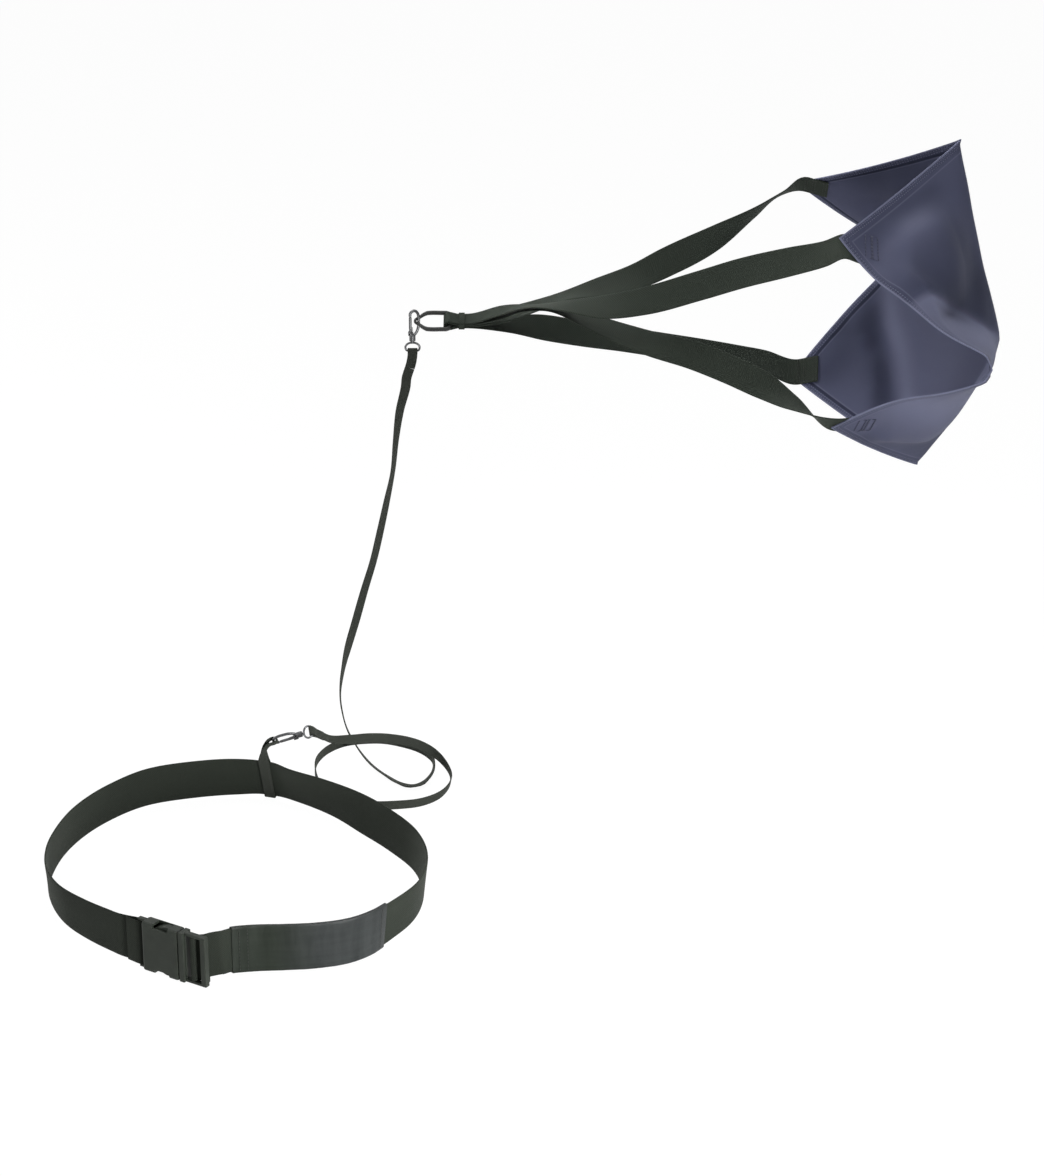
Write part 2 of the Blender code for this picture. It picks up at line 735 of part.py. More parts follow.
def make_prong(name, side):
    """A springy arm with a wing that shows in the female half's window; side is 1 above and -1 below."""
    pivot_x = MALE_START - GAP - PRONG_ARM / 2
    lock_x = WINDOW_END - GAP
    low, high = PRONG_OFFSET - PRONG_ARM / 2, PRONG_OFFSET + PRONG_ARM / 2
    wing = BUCKLE_HALF - 0.0006
    outline = [(0.011, low + 0.0004), (0.020, low), (pivot_x, low)]
    for index in range(1, 6):
        angle = math.radians(-90 + 180 * index / 6)
        outline.append(
            (pivot_x + PRONG_ARM / 2 * math.cos(angle), PRONG_OFFSET + PRONG_ARM / 2 * math.sin(angle))
        )
    outline += [(pivot_x, high), (lock_x + 0.0010, high), (lock_x, high + 0.0006), (lock_x, wing - 0.0008)]
    outline += [(lock_x - 0.0008, wing), (lock_x - 0.0055, wing), (0.0200, wing - 0.0022)]
    outline += [(0.0140, high + 0.0016), (0.0110, high - 0.0012)]
    thickness = BUCKLE_DEPTH / 2 - BUCKLE_WALL - 0.0008
    build = bmesh.new()
    ring = [build.verts.new((x, -thickness, z * side)) for x, z in outline]
    face = build.faces.new(ring)
    pushed = bmesh.ops.extrude_face_region(build, geom=[face])
    moved = [item for item in pushed["geom"] if isinstance(item, bmesh.types.BMVert)]
    bmesh.ops.translate(build, vec=(0, 2 * thickness, 0), verts=moved)
    bmesh.ops.recalc_face_normals(build, faces=build.faces)
    mesh = bpy.data.meshes.new(name)
    build.to_mesh(mesh)
    build.free()
    thing = add_object(name, mesh, PLASTIC)
    thing.matrix_world = BUCKLE


def spine_points():
    """The hook's wire from the barrel round the tip to the nose, in the hook's own frame."""
    reach, top = HOOK_REACH, HOOK_HEIGHT
    return spline(
        [
            (0.0021, 0, BARREL_HEIGHT - 0.0006),
            (reach - 0.0026, 0, BARREL_HEIGHT + 0.0021),
            (reach - 0.0007, 0, BARREL_HEIGHT + 0.0063),
            (reach, 0, BARREL_HEIGHT + 0.0120),
            (reach, 0, BARREL_HEIGHT + 0.0180),
            (reach - 0.0013, 0, top - 0.0042),
            (reach - 0.0036, 0, top - HOOK_WIRE - 0.0004),
            (BOW_X, 0, top - HOOK_WIRE),
            (BOW_X - 0.0026, 0, top - HOOK_WIRE - 0.0006),
            (-GATE_REACH, 0, top - 0.0040),
            (-GATE_REACH - 0.0001, 0, top - NOSE_DROP),
        ],
        0.0016,
    )


def make_hook(prefix, frame, eye_frame):
    """A swivel snap hook: turned barrel, wire hook, sprung gate on a pin, and the swivel eye."""
    wall = BARREL_HEIGHT * 0.25
    bore = STEM_RADIUS + RUNNING_CLEARANCE
    cavity = HEAD_RADIUS + GAP
    head_low = wall + GAP
    head_high = head_low + HEAD_HEIGHT
    barrel = turned(
        prefix + "_hook_body",
        [
            (0.0, BARREL_HEIGHT), (BARREL_RADIUS - 0.0006, BARREL_HEIGHT), (BARREL_RADIUS, BARREL_HEIGHT - 0.0006),
            (BARREL_RADIUS, 0.0005), (BARREL_RADIUS - 0.0005, 0.0), (bore, 0.0), (bore, wall), (cavity, wall),
            (cavity, head_high + GAP), (0.0, head_high + GAP),
        ],
        frame, METAL,
    )
    smooth(barrel)
    spine = wire(prefix + "_spine", spine_points(), frame, HOOK_WIRE, cutter=True)
    boolean(barrel, spine, "UNION")
    pivot_x, pivot_z = -GATE_REACH + 0.0004, BARREL_HEIGHT + 0.0022
    ear_inner = GATE_HALF + GAP
    for side in (-1, 1):
        inner, outer = side * ear_inner, side * (ear_inner + EAR_THICKNESS)
        ear = block(
            f"{prefix}_ear_{'left' if side < 0 else 'right'}",
            (pivot_x - 0.0017, min(inner, outer), BARREL_HEIGHT - 0.0014),
            (pivot_x + 0.0017, max(inner, outer), pivot_z + 0.0016), frame, cutter=True, rounding=0.0005,
        )
        boolean(barrel, ear, "UNION")
    reach = ear_inner + EAR_THICKNESS + 0.002
    hole = rod(
        prefix + "_pin_hole", (pivot_x, -reach, pivot_z), (pivot_x, reach, pivot_z),
        PIN_RADIUS + RUNNING_CLEARANCE, frame, cutter=True,
    )
    boolean(barrel, hole, "DIFFERENCE")
    pin_half = ear_inner + EAR_THICKNESS + 0.0002
    rod(
        prefix + "_gate_pin", (pivot_x, -pin_half, pivot_z), (pivot_x, pin_half, pivot_z), PIN_RADIUS, frame, METAL
    )
    gate_top = HOOK_HEIGHT - NOSE_DROP - GAP * 1.5
    gate = wire(
        prefix + "_hook_gate",
        [
            (pivot_x, 0, pivot_z), (pivot_x - 0.0004, 0, pivot_z + 0.005),
            (-GATE_REACH, 0, gate_top - 0.0016), (-GATE_REACH, 0, gate_top - 0.0005), (-GATE_REACH, 0, gate_top),
        ],
        frame, GATE_WIRE, METAL, radii=[GATE_WIRE, GATE_WIRE, GATE_WIRE, GATE_WIRE * 0.85, GATE_WIRE * 0.5],
    )
    knuckle = rod(
        prefix + "_knuckle", (pivot_x, -GATE_HALF, pivot_z), (pivot_x, GATE_HALF, pivot_z), GATE_WIRE * 1.15,
        frame, cutter=True,
    )
    boolean(gate, knuckle, "UNION")
    boolean(gate, hole, "DIFFERENCE")
    leaf = pivot_x + GATE_WIRE + GAP * 2 + SPRING_WIRE
    wire(
        prefix + "_gate_spring",
        spline(
            [
                (leaf + 0.0002, 0, BARREL_HEIGHT + GAP * 2), (leaf + 0.0001, 0, BARREL_HEIGHT + 0.0012),
                (leaf, 0, BARREL_HEIGHT + 0.0030), (leaf - 0.0003, 0, BARREL_HEIGHT + 0.0056),
                (leaf - 0.0006, 0, BARREL_HEIGHT + 0.0080),
            ],
            0.0012,
        ),
        frame, SPRING_WIRE, METAL,
    )
    stem_low = -EYE_WIRE * 1.9
    eye = turned(
        prefix + "_hook_eye",
        [
            (0.0, head_high), (HEAD_RADIUS, head_high), (HEAD_RADIUS, head_low), (STEM_RADIUS, head_low),
            (STEM_RADIUS, stem_low), (0.0, stem_low),
        ],
        eye_frame, METAL,
    )
    smooth(eye)
    loop = wire(prefix + "_eye_loop", eye_points(), eye_frame, EYE_WIRE, cutter=True, closed=True)
    boolean(eye, loop, "UNION")


def eye_points():
    """The swivel eye's loop below the barrel: a rounded top and a straight bar for the tether."""
    edge = TETHER_WIDTH / 2
    half = edge + 0.0012 + EYE_WIRE
    low = -EYE_DEPTH
    right = [
        (0.0, 0, -0.0018), (0.0030, 0, -0.0021), (half - 0.0016, 0, -0.0036), (half, 0, -0.0061),
        (half - 0.0002, 0, low + 0.0022), (half - 0.0010, 0, low + 0.0005), (edge + 0.0002, 0, low), (edge / 2, 0, low),
    ]
    left = [(-x, y, z) for x, y, z in reversed(right[1:])]
    return spline(right + left, 0.0016, closed=True)


def end_loop(name, eye_frame, leave, drift):
    """The tether's sewn end round an eye's bar, bent edgewise by drift at its far end.

    Returns where the free webbing starts, its heading and its half-width vector.
    """
    bar = Vector((0, 0, -EYE_DEPTH))
    wrap = EYE_WIRE + GAP * 1.5 + TETHER_THICKNESS / 2
    pinch = TETHER_THICKNESS / 2 + GAP / 2
    heading = leave.normalized()
    width = X_AXIS
    side = heading.cross(width)
    far = 0.018
    legs = ((far, pinch), (0.013, pinch), (0.008, pinch + 0.0001), (0.0035, wrap * 0.80))
    points = [bar + heading * away + side * out + width * drift * (away / far) ** 2 for away, out in legs]
    for index in range(7):
        angle = math.radians(80 + 200 * index / 6)
        points.append(bar + heading * (wrap * math.cos(angle)) + side * (wrap * math.sin(angle)))
    points += [
        bar + heading * away - side * out + width * drift * (away / far) ** 2 for away, out in reversed(legs)
    ]
    turn = eye_frame.to_3x3()
    half = turn @ width * (TETHER_WIDTH / 2)
    rows = [(*(eye_frame @ point), *half) for point in points]
    ribbon_from_rows(name, rows, 0.0012, TETHER_THICKNESS, WEBBING)
    onward = (heading + width * 2 * drift / far).normalized()
    start = bar + heading * far + width * drift + onward * GAP * 2
    return eye_frame @ start, turn @ onward, half


def make_tether():
    """Both sewn end loops and the free webbing between them."""
    low_start, low_heading, low_half = end_loop("tether_lower_loop", LOWER_EYE, Vector((0, -2.0, -1)), 0.0)
    top_start, top_heading, top_half = end_loop("tether_upper_loop", UPPER_EYE, Vector((0, 0, -1)), -0.0030)
    rows = [(*low_start, *low_half)]
    ahead = low_start + low_heading * 0.008
    rows.append((*ahead, *low_half))
    points = [Vector(row[:3]) for row in TETHER_ROUTE]
    headings = tangents([ahead] + points + [top_start])[1:-1]
    last = low_half
    for row, point, heading in zip(TETHER_ROUTE, points, headings):
        half = rolled(heading, row[3]) * (TETHER_WIDTH / 2)
        if half.dot(last) < 0:
            half = -half
        rows.append((*point, *half))
        last = half
    if top_half.dot(last) < 0:
        top_half = -top_half
    rows.append((*(top_start + top_heading * 0.010), *top_half))
    rows.append((*top_start, *top_half))
    ribbon_from_rows("tether_strap", rows, 0.019, TETHER_THICKNESS, WEBBING)


def make_keeper():
    """The webbing loop round the back of the belt that the lower hook clips to at its bow."""
    centre, half, heading = keeper_place()
    up = half.normalized()
    edge = half.length
    outward = up.cross(heading).normalized()
    off = BELT_THICKNESS / 2 + KEEPER_SLACK + KEEPER_THICKNESS / 2
    turn = LOWER_HOOK.to_3x3()
    pull = turn @ Z_AXIS
    side = turn @ Y_AXIS
    if side.dot(outward) < 0:
        side = -side
    band = heading * (KEEPER_WIDTH / 2)
    bunched = turn @ X_AXIS * (KEEPER_BUNCHED / 2)
    if bunched.dot(heading) < 0:
        bunched = -bunched
    bow = LOWER_HOOK @ Vector((BOW_X, 0, HOOK_HEIGHT - HOOK_WIRE))
    deep = HOOK_WIRE + KEEPER_SLACK * 3.5 + KEEPER_THICKNESS / 2
    wide = HOOK_WIRE + KEEPER_SLACK * 2.2 + KEEPER_THICKNESS / 2
    shoulder = centre + up * (edge + 0.0040)
    neck = bow + pull * 0.0095 - Z_AXIS * 0.0048
    neck_width = (bunched.normalized() + heading).normalized() * (KEEPER_BUNCHED / 2)
    levels = (-0.80, -0.3, 0.2, 0.70, 0.98)
    rows = []
    for angle in range(-60, 61, 30):
        rad = math.radians(angle)
        sink = edge + KEEPER_SLACK * 0.5 + KEEPER_THICKNESS / 2 * math.cos(rad)
        rows.append((centre - up * sink + outward * off * math.sin(rad) * 1.15, band))
    rows += [(centre + up * edge * level + outward * off, band) for level in levels]
    rows.append((shoulder + outward * off, band * 0.85))
    rows.append((neck + side * KEEPER_THICKNESS * 1.4, neck_width))
    rows.append((bow + pull * 0.0035 + side * wide * 0.9, bunched))
    for angle in range(0, 181, 36):
        rad = math.radians(angle)
        rows.append((bow + side * wide * math.cos(rad) - pull * deep * math.sin(rad), bunched))
    rows.append((bow + pull * 0.0035 - side * wide * 0.9, bunched))
    rows.append((neck - side * KEEPER_THICKNESS * 1.4, neck_width))
    rows.append((shoulder - outward * off, band * 0.85))
    rows += [(centre + up * edge * level - outward * off, band) for level in reversed(levels)]
    table = [(*point, *width) for point, width in rows]
    ribbon_from_rows("keeper_loop", table, 0.0035, KEEPER_THICKNESS, WEBBING, closed=True)


RING_CROSS = Vector((0, 0.894, 0.448)).normalized()
RING_NORMAL = X_AXIS.cross(RING_CROSS)


def ring_origin():
    """The middle of the ring's nose, where it bears on the upper hook's spine."""
    spine = UPPER_HOOK @ Vector((HOOK_REACH, 0, RING_ON_SPINE))
    return spine - X_AXIS * (HOOK_WIRE + GAP + RING_NOSE)


def ring_point(along, cross, height=0.0):
    return ring_origin() + X_AXIS * along + RING_CROSS * cross + RING_NORMAL * height


def make_ring():
    half = RING_HALF
    corner = 0.0032
    end = RING_LENGTH
    upper = [
        (0.0, 0.0018, RING_NOSE), (0.0040, 0.0052, RING_NOSE * 1.1), (0.0090, half - 0.0020, RING_BAR * 0.9),
        (0.0118, half - 0.0003, RING_BAR), (0.0140, half, RING_BAR), (end - corner - 0.003, half, RING_BAR),
        (end - corner, half, RING_BAR), (end - corner * 0.3, half - corner * 0.3, RING_BAR),
        (end, half - corner, RING_BAR), (end, half - corner - 0.0025, RING_BAR),
    ]
    lower = [(along, -cross, radius) for along, cross, radius in reversed(upper)]
    rows = [(*ring_point(along, cross), radius) for along, cross, radius in upper + lower]
    samples = spline(rows, 0.0022, closed=True)
    wire(
        "strap_ring", [sample[:3] for sample in samples], Matrix.Identity(4), RING_BAR, PLASTIC,
        radii=[sample[3] for sample in samples], closed=True,
    )


def leg_end(name):
    """Points and width vectors of a strap's end on the inner face of its canopy corner."""
    corner = CORNER[name]
    near = 0.15
    first, second = sheet_point(name, near, 0.0), sheet_point(name, 0.0, near)
    diagonal = (sheet_point(name, near, near) - corner).normalized()
    normal = (first - corner).cross(second - corner).normalized()
    inside = sum(CORNER.values(), Vector()) / len(CORNER) - corner
    if normal.dot(inside) < 0:
        normal = -normal
    width = square_to(first - second, diagonal)
    rise = CANOPY_THICKNESS / 2 + STRAP_SEAT + STRAP_THICKNESS / 2
    patch = [sheet_point(name, i / 50, j / 50) for i in range(17) for j in range(17)]
    overlap = STRAP_OVERLAP / (CANOPY_MIDDLE - corner).length
    rows = []
    for share in (0.03, 0.075, overlap):
        point = sheet_point(name, share + STRAP_SHIFT[name], share - STRAP_SHIFT[name])
        offsets = [spot - point for spot in patch]
        beneath = [
            offset.dot(normal) for offset in offsets
            if abs(offset.dot(diagonal)) < 0.007 and abs(offset.dot(width)) < STRAP_WIDTH / 2 + 0.001
        ]
        rows.append((point + normal * (rise + max(beneath)), width * (STRAP_WIDTH / 2)))
    return rows


def leg_rows(name, level):
    """Rows of one strap leg from the ring's tack to its corner, level being its height in the bundle."""
    end_bar = ring_point(RING_LENGTH, 0.0)
    bunched = RING_CROSS * (STRAP_BUNCHED / 2)
    rows = [(end_bar + X_AXIS * step + RING_NORMAL * level, bunched) for step in (0.0085, 0.0125, 0.0185)]
    route = LEG_ROUTE[name]
    points = [Vector(row[:3]) for row in route]
    ends = leg_end(name)
    headings = tangents([rows[-1][0]] + points + [ends[0][0]])[1:-1]
    for index, (row, point, heading) in enumerate(zip(route, points, headings)):
        share = min(1.0, (index + 1) / 2)
        half = STRAP_BUNCHED / 2 + (STRAP_WIDTH - STRAP_BUNCHED) / 2 * share
        rows.append((point, rolled(heading, row[3]) * half))
    return rows + ends


def make_straps():
    """Two long straps, each looped over the ring's end bar with a leg to two opposite corners."""
    pitch = STRAP_THICKNESS + STRAP_GAP
    end_bar = ring_point(RING_LENGTH, 0.0)
    bunched = RING_CROSS * (STRAP_BUNCHED / 2)
    wrap_inner = RING_BAR + STRAP_GAP + STRAP_THICKNESS / 2
    loops = [
        ("chute_strap_outer", "upper_near", "lower_far", 1.5 * pitch, wrap_inner + pitch),
        ("chute_strap_inner", "lower_near", "upper_far", 0.5 * pitch, wrap_inner),
    ]
    for name, top, bottom, level, wrap in loops:
        rows = list(reversed(leg_rows(top, level)))
        for angle in range(70, 291, 20):
            turn = math.radians(angle)
            point = end_bar + X_AXIS * wrap * math.cos(turn) + RING_NORMAL * wrap * math.sin(turn)
            rows.append((point, bunched))
        rows += leg_rows(bottom, -level)
        table = directed_rows([row[0] for row in rows], [row[1] for row in rows])
        ribbon_from_rows(name, table, 0.007, STRAP_THICKNESS, WEBBING)


def make_tack():
    """The sewn band that holds both straps together just past the ring."""
    pitch = STRAP_THICKNESS + STRAP_GAP
    band = 0.0008
    deep = 2 * pitch + STRAP_GAP + band / 2
    wide = STRAP_BUNCHED / 2 + STRAP_GAP * 2 + band / 2
    centre = ring_point(RING_LENGTH + 0.0125, 0.0)
    section = [
        (-wide, -deep + 0.0006), (-wide + 0.0006, -deep), (0.0, -deep), (wide - 0.0006, -deep), (wide, -deep + 0.0006),
        (wide, deep - 0.0006), (wide - 0.0006, deep), (0.0, deep), (-wide + 0.0006, deep), (-wide, deep - 0.0006),
    ]
    centres = [centre + RING_CROSS * cross + RING_NORMAL * height for cross, height in section]
    ribbon("strap_tack", centres, [X_AXIS * 0.003] * len(centres), band, WEBBING, closed=True)


def sheet_point(name, first_share, second_share):
    """A point of one quarter of the canopy: shares of the way from its corner along its two edges."""
    corner = CORNER[name]
    first, second = CORNER_EDGES[name]
    start, end = EDGE_MIDDLE[first], EDGE_MIDDLE[second]
    u, v = first_share, second_share
    flat = corner * (1 - u) * (1 - v) + start * u * (1 - v) + end * v * (1 - u) + CANOPY_MIDDLE * u * v
    flat += 4 * u * (1 - u) * ((1 - v) * HEM_BOW[name, first] + v * FOLD_BOW[second])
    flat += 4 * v * (1 - v) * ((1 - u) * HEM_BOW[name, second] + u * FOLD_BOW[first])
    across = (start - end).cross(CANOPY_MIDDLE - corner).normalized()
    inside = sum(CORNER.values(), Vector()) / len(CORNER) - flat
    if across.dot(inside) > 0:
        across = -across
    return flat + across * CANOPY_BULGE * (math.sin(math.pi * u) * math.sin(math.pi * v)) ** 2


def make_canopy():
    """The square sheet, folded along the lines from its middle to the middles of its edges."""
    quarters = ["upper_far", "upper_near", "lower_near", "lower_far"]
    build = bmesh.new()
    for name in quarters:
        grid = []
        for i in range(CANOPY_STEPS + 1):
            shares = [(i / CANOPY_STEPS, j / CANOPY_STEPS) for j in range(CANOPY_STEPS + 1)]
            grid.append([build.verts.new(sheet_point(name, u, v)) for u, v in shares])
        for i in range(CANOPY_STEPS):
            for j in range(CANOPY_STEPS):
                build.faces.new((grid[i][j], grid[i + 1][j], grid[i + 1][j + 1], grid[i][j + 1]))
    bmesh.ops.remove_doubles(build, verts=build.verts, dist=0.00001)
    bmesh.ops.recalc_face_normals(build, faces=build.faces)
    mesh = bpy.data.meshes.new("chute_canopy")
    build.to_mesh(mesh)
    build.free()
    thing = add_object("chute_canopy", mesh, SHEET)
    solid = thing.modifiers.new("sheet thickness", "SOLIDIFY")
    solid.thickness = CANOPY_THICKNESS
    solid.offset = 0.0


make_belt()
make_sleeve()
make_female()
make_male()
make_prong("buckle_prong_upper", 1)
make_prong("buckle_prong_lower", -1)
make_keeper()
make_hook("lower", LOWER_HOOK, LOWER_EYE)
make_hook("upper", UPPER_HOOK, UPPER_EYE)
make_tether()
make_ring()
make_straps()
make_tack()
make_canopy()
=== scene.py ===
"""Swim parachute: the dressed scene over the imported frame.

Metres, +Z up. Soft pieces are rebuilt here as woven webbing, satin and coated cloth with hems and
stitching, along the same routes as the frame's solids. Rigid pieces keep their solids and get their
own materials.
"""

import math

import bpy
import bmesh
from mathutils import Matrix, Vector, noise


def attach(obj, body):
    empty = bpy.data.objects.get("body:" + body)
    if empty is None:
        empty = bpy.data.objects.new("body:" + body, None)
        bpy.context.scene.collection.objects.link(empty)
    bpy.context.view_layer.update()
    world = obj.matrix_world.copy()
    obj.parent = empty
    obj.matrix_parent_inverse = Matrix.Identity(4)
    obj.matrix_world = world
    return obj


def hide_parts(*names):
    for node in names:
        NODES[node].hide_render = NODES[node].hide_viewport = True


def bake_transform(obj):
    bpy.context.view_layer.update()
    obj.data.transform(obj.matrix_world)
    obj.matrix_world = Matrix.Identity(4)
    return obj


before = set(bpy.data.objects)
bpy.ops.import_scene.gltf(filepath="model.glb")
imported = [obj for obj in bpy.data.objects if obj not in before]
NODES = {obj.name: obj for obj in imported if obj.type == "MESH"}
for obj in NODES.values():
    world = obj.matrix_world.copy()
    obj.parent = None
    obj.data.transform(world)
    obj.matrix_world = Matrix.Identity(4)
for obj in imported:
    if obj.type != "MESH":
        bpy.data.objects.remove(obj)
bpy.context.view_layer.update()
scene = bpy.context.scene

X_AXIS = Vector((1, 0, 0))
Y_AXIS = Vector((0, 1, 0))
Z_AXIS = Vector((0, 0, 1))

# Gaps between pieces
GAP = 0.0003

# Webbing and sheet
BELT_WIDTH = 0.046
HALF_BELT = BELT_WIDTH / 2
BELT_THICKNESS = 0.0016
STRAP_WIDTH = 0.030
STRAP_THICKNESS = 0.0014
TETHER_WIDTH = 0.010
TETHER_THICKNESS = 0.0012
SEWN_END = 0.018
KEEPER_WIDTH = 0.012
KEEPER_THICKNESS = 0.0014
KEEPER_SLACK = 0.0006
KEEPER_BUNCHED = 0.0046
CANOPY_THICKNESS = 0.0008
HALF_SHEET = 0.203
HEM_WIDTH = 0.0080
SLEEVE_WALL = 0.0006
SLEEVE_SLACK = 0.0004
THREAD_LIFT = 0.0001

# Spacing of the sections along each webbing
BELT_STEP = 0.0040
SLEEVE_STEP = 0.0025
KEEPER_STEP = 0.0018
TETHER_STEP = 0.0040
SEWN_END_STEP = 0.0008
STRAP_STEP = 0.0035

# Buckle
BUCKLE_PLACE = Vector((-0.0725, -0.1650, 0.0020))
BUCKLE_HEADING = -32
BAR_RADIUS = 0.0020
BAR_X = -BAR_RADIUS * 2
BAR_WRAP = BAR_RADIUS + GAP + BELT_THICKNESS / 2
MALE_START = 0.0446
MALE_END = MALE_START + 0.0295
MIDDLE_BAR_X = MALE_START + 0.0142
LAYER_ONE = 0.0025 + GAP + BELT_THICKNESS / 2
LAYER_TWO = LAYER_ONE + BELT_THICKNESS + GAP

# Swivel hooks
HOOK_WIRE = 0.00150
HOOK_HEIGHT = 0.0330
HOOK_REACH = 0.0074
BOW_X = 0.0024
EYE_WIRE = 0.0011
EYE_DEPTH = 0.0102
UPPER_HOOK_PLACE = Vector((0.1737, 0.2400, 0.4727))
UPPER_HOOK_TURN = 30
LOWER_HOOK_PLACE = Vector((0.0535, 0.1950, 0.0553))
LOWER_HOOK_AIM = Vector((-0.950, 0.0, -0.310))

# Ring between the upper hook and the straps
RING_BAR = 0.0023
RING_NOSE = 0.0015
RING_LENGTH = 0.0345
RING_ON_SPINE = 0.0200
STRAP_BUNCHED = 0.0150
STRAP_GAP = 0.0005
STRAP_PITCH = STRAP_THICKNESS + STRAP_GAP

# Stage
FLOOR_LEVEL = -0.0254
FLOOR_REACH = 9
WORLD_LEVEL = 0.08
CAMERA_PLACE = (0.2850, -2.6850, 1.3666)
CAMERA_TILT = 90.0 - 21.7
CAMERA_LENS = 91.84

# The belt's centre line from the buckle's female half round to the sleeve: x, y, lift, lean.
BELT_ROUTE = [
    (-0.097, -0.1495, 0.0018, -0.001), (-0.11, -0.1385, 0.0012, -0.002),
    (-0.1355, -0.115, 0.0002, -0.004), (-0.162, -0.085, 0, -0.006), (-0.18, -0.048, 0, -0.005),
    (-0.1885, -0.005, 0, 0), (-0.187, 0.035, 0, 0.003), (-0.1755, 0.087, 0, 0.005),
    (-0.1455, 0.144, 0, 0.007), (-0.112, 0.1795, 0, 0.007), (-0.063, 0.199, 0, 0.007),
    (-0.02, 0.204, 0.001, 0.009), (0.0075, 0.2007, 0.002, 0.014), (0.015, 0.1982, 0.002, 0.014),
    (0.0225, 0.1957, 0.002, 0.014), (0.045, 0.1815, 0.0008, 0.017), (0.079, 0.1575, 0, 0.011),
    (0.119, 0.117, 0, -0.001), (0.15, 0.078, 0, -0.003), (0.178, 0.03, 0, -0.003),
    (0.189, -0.025, 0, -0.005), (0.18, -0.08, 0, -0.007), (0.161, -0.114, 0, -0.006),
    (0.1525, -0.1265, 0, -0.005),
]
KEEPER_ROW = 13
SLEEVE_ROWS_BEFORE = 1

# The belt's front stretch, in the sleeve, on to the buckle's male half.
FRONT_ROUTE = [
    (0.1435, -0.139, 0, -0.004), (0.122, -0.157, 0, -0.003), (0.09, -0.1675, 0, -0.002),
    (0.06, -0.1715, 0.0004, -0.001), (0.031, -0.1745, 0.001, 0), (0.0105, -0.18, 0.0018, 0),
]

# The tether's free stretch from the lower to the upper eye: x, y, z, roll of its width in degrees.
# In its loops the rolls are the photograph's, and turn further than the solid's.
TETHER_ROUTE = [
    (0.102, 0.22, 0.0375, 40), (0.1222, 0.24, 0.03, 20), (0.1427, 0.257, 0.0215, 8),
    (0.1618, 0.266, 0.014, 4), (0.175, 0.274, 0.0055, 0), (0.1872, 0.2782, -0.004, 0),
    (0.1945, 0.276, -0.009, 0), (0.2015, 0.269, -0.014, 0), (0.207, 0.256, -0.0175, 0),
    (0.2086, 0.24, -0.0182, 10), (0.2058, 0.219, -0.0182, 14), (0.1957, 0.197, -0.0182, 10),
    (0.177, 0.1812, -0.0182, 4), (0.1519, 0.175, -0.0182, 0), (0.1266, 0.174, -0.0182, 0),
    (0.0976, 0.1824, -0.0182, 0), (0.0748, 0.2093, -0.0182, 0), (0.0626, 0.2492, -0.0182, 0),
    (0.0622, 0.2901, -0.0182, 0), (0.0737, 0.3174, -0.0182, 0), (0.0893, 0.3332, -0.0182, 0),
    (0.111, 0.34, -0.0182, 0), (0.132, 0.34, -0.0182, 0), (0.1523, 0.332, -0.0184, 4),
    (0.1659, 0.324, -0.0187, 8), (0.1795, 0.31, -0.019, 14), (0.1877, 0.292, -0.0198, 2),
    (0.1888, 0.2752, -0.0205, 17), (0.1866, 0.258, -0.021, 42), (0.1812, 0.242, -0.0212, 60),
    (0.174, 0.231, -0.0213, 78), (0.1655, 0.228, -0.0213, 82), (0.1527, 0.236, -0.0213, 70),
    (0.1391, 0.253, -0.0213, 60), (0.124, 0.2755, -0.0208, 52), (0.1119, 0.2985, -0.0188, 42),
    (0.103, 0.313, -0.013, 40), (0.0945, 0.318, 0.001, -8), (0.0885, 0.313, 0.028, -4),
    (0.0872, 0.3071, 0.0481, 0), (0.0891, 0.3029, 0.0701, 14), (0.0925, 0.2994, 0.0893, 26),
    (0.0968, 0.296, 0.1084, 46), (0.1071, 0.2895, 0.146, 58), (0.1172, 0.2834, 0.1831, 54),
    (0.1278, 0.2774, 0.2196, 48), (0.1361, 0.2717, 0.2557, 46), (0.1437, 0.2661, 0.2913, 38),
    (0.1508, 0.2607, 0.3265, 25), (0.1546, 0.2554, 0.3613, 34), (0.1595, 0.2502, 0.3957, 58),
    (0.166, 0.2445, 0.423, 80),
]

# Canopy: its strapped corners, the edges that meet there, the edge middles and the sheet's middle.
CORNER = {
    "upper_far": Vector((0.572, 0.387, 0.601)),
    "upper_near": Vector((0.592, 0.138, 0.608)),
    "lower_far": Vector((0.576, 0.415, 0.379)),
    "lower_near": Vector((0.591, 0.131, 0.416)),
}
MOUTH_MIDDLE = sum(CORNER.values(), Vector()) / len(CORNER)
CORNER_EDGES = {
    "upper_far": ("top", "far"),
    "upper_near": ("near", "top"),
    "lower_far": ("far", "bottom"),
    "lower_near": ("bottom", "near"),
}
EDGE_MIDDLE = {
    "top": Vector((0.725, 0.274, 0.673)),
    "near": Vector((0.732, 0.040, 0.506)),
    "bottom": Vector((0.697, 0.270, 0.329)),
    "far": Vector((0.696, 0.438, 0.513)),
}
CANOPY_MIDDLE = Vector((0.767, 0.226, 0.480))
CANOPY_BULGE = 0.012

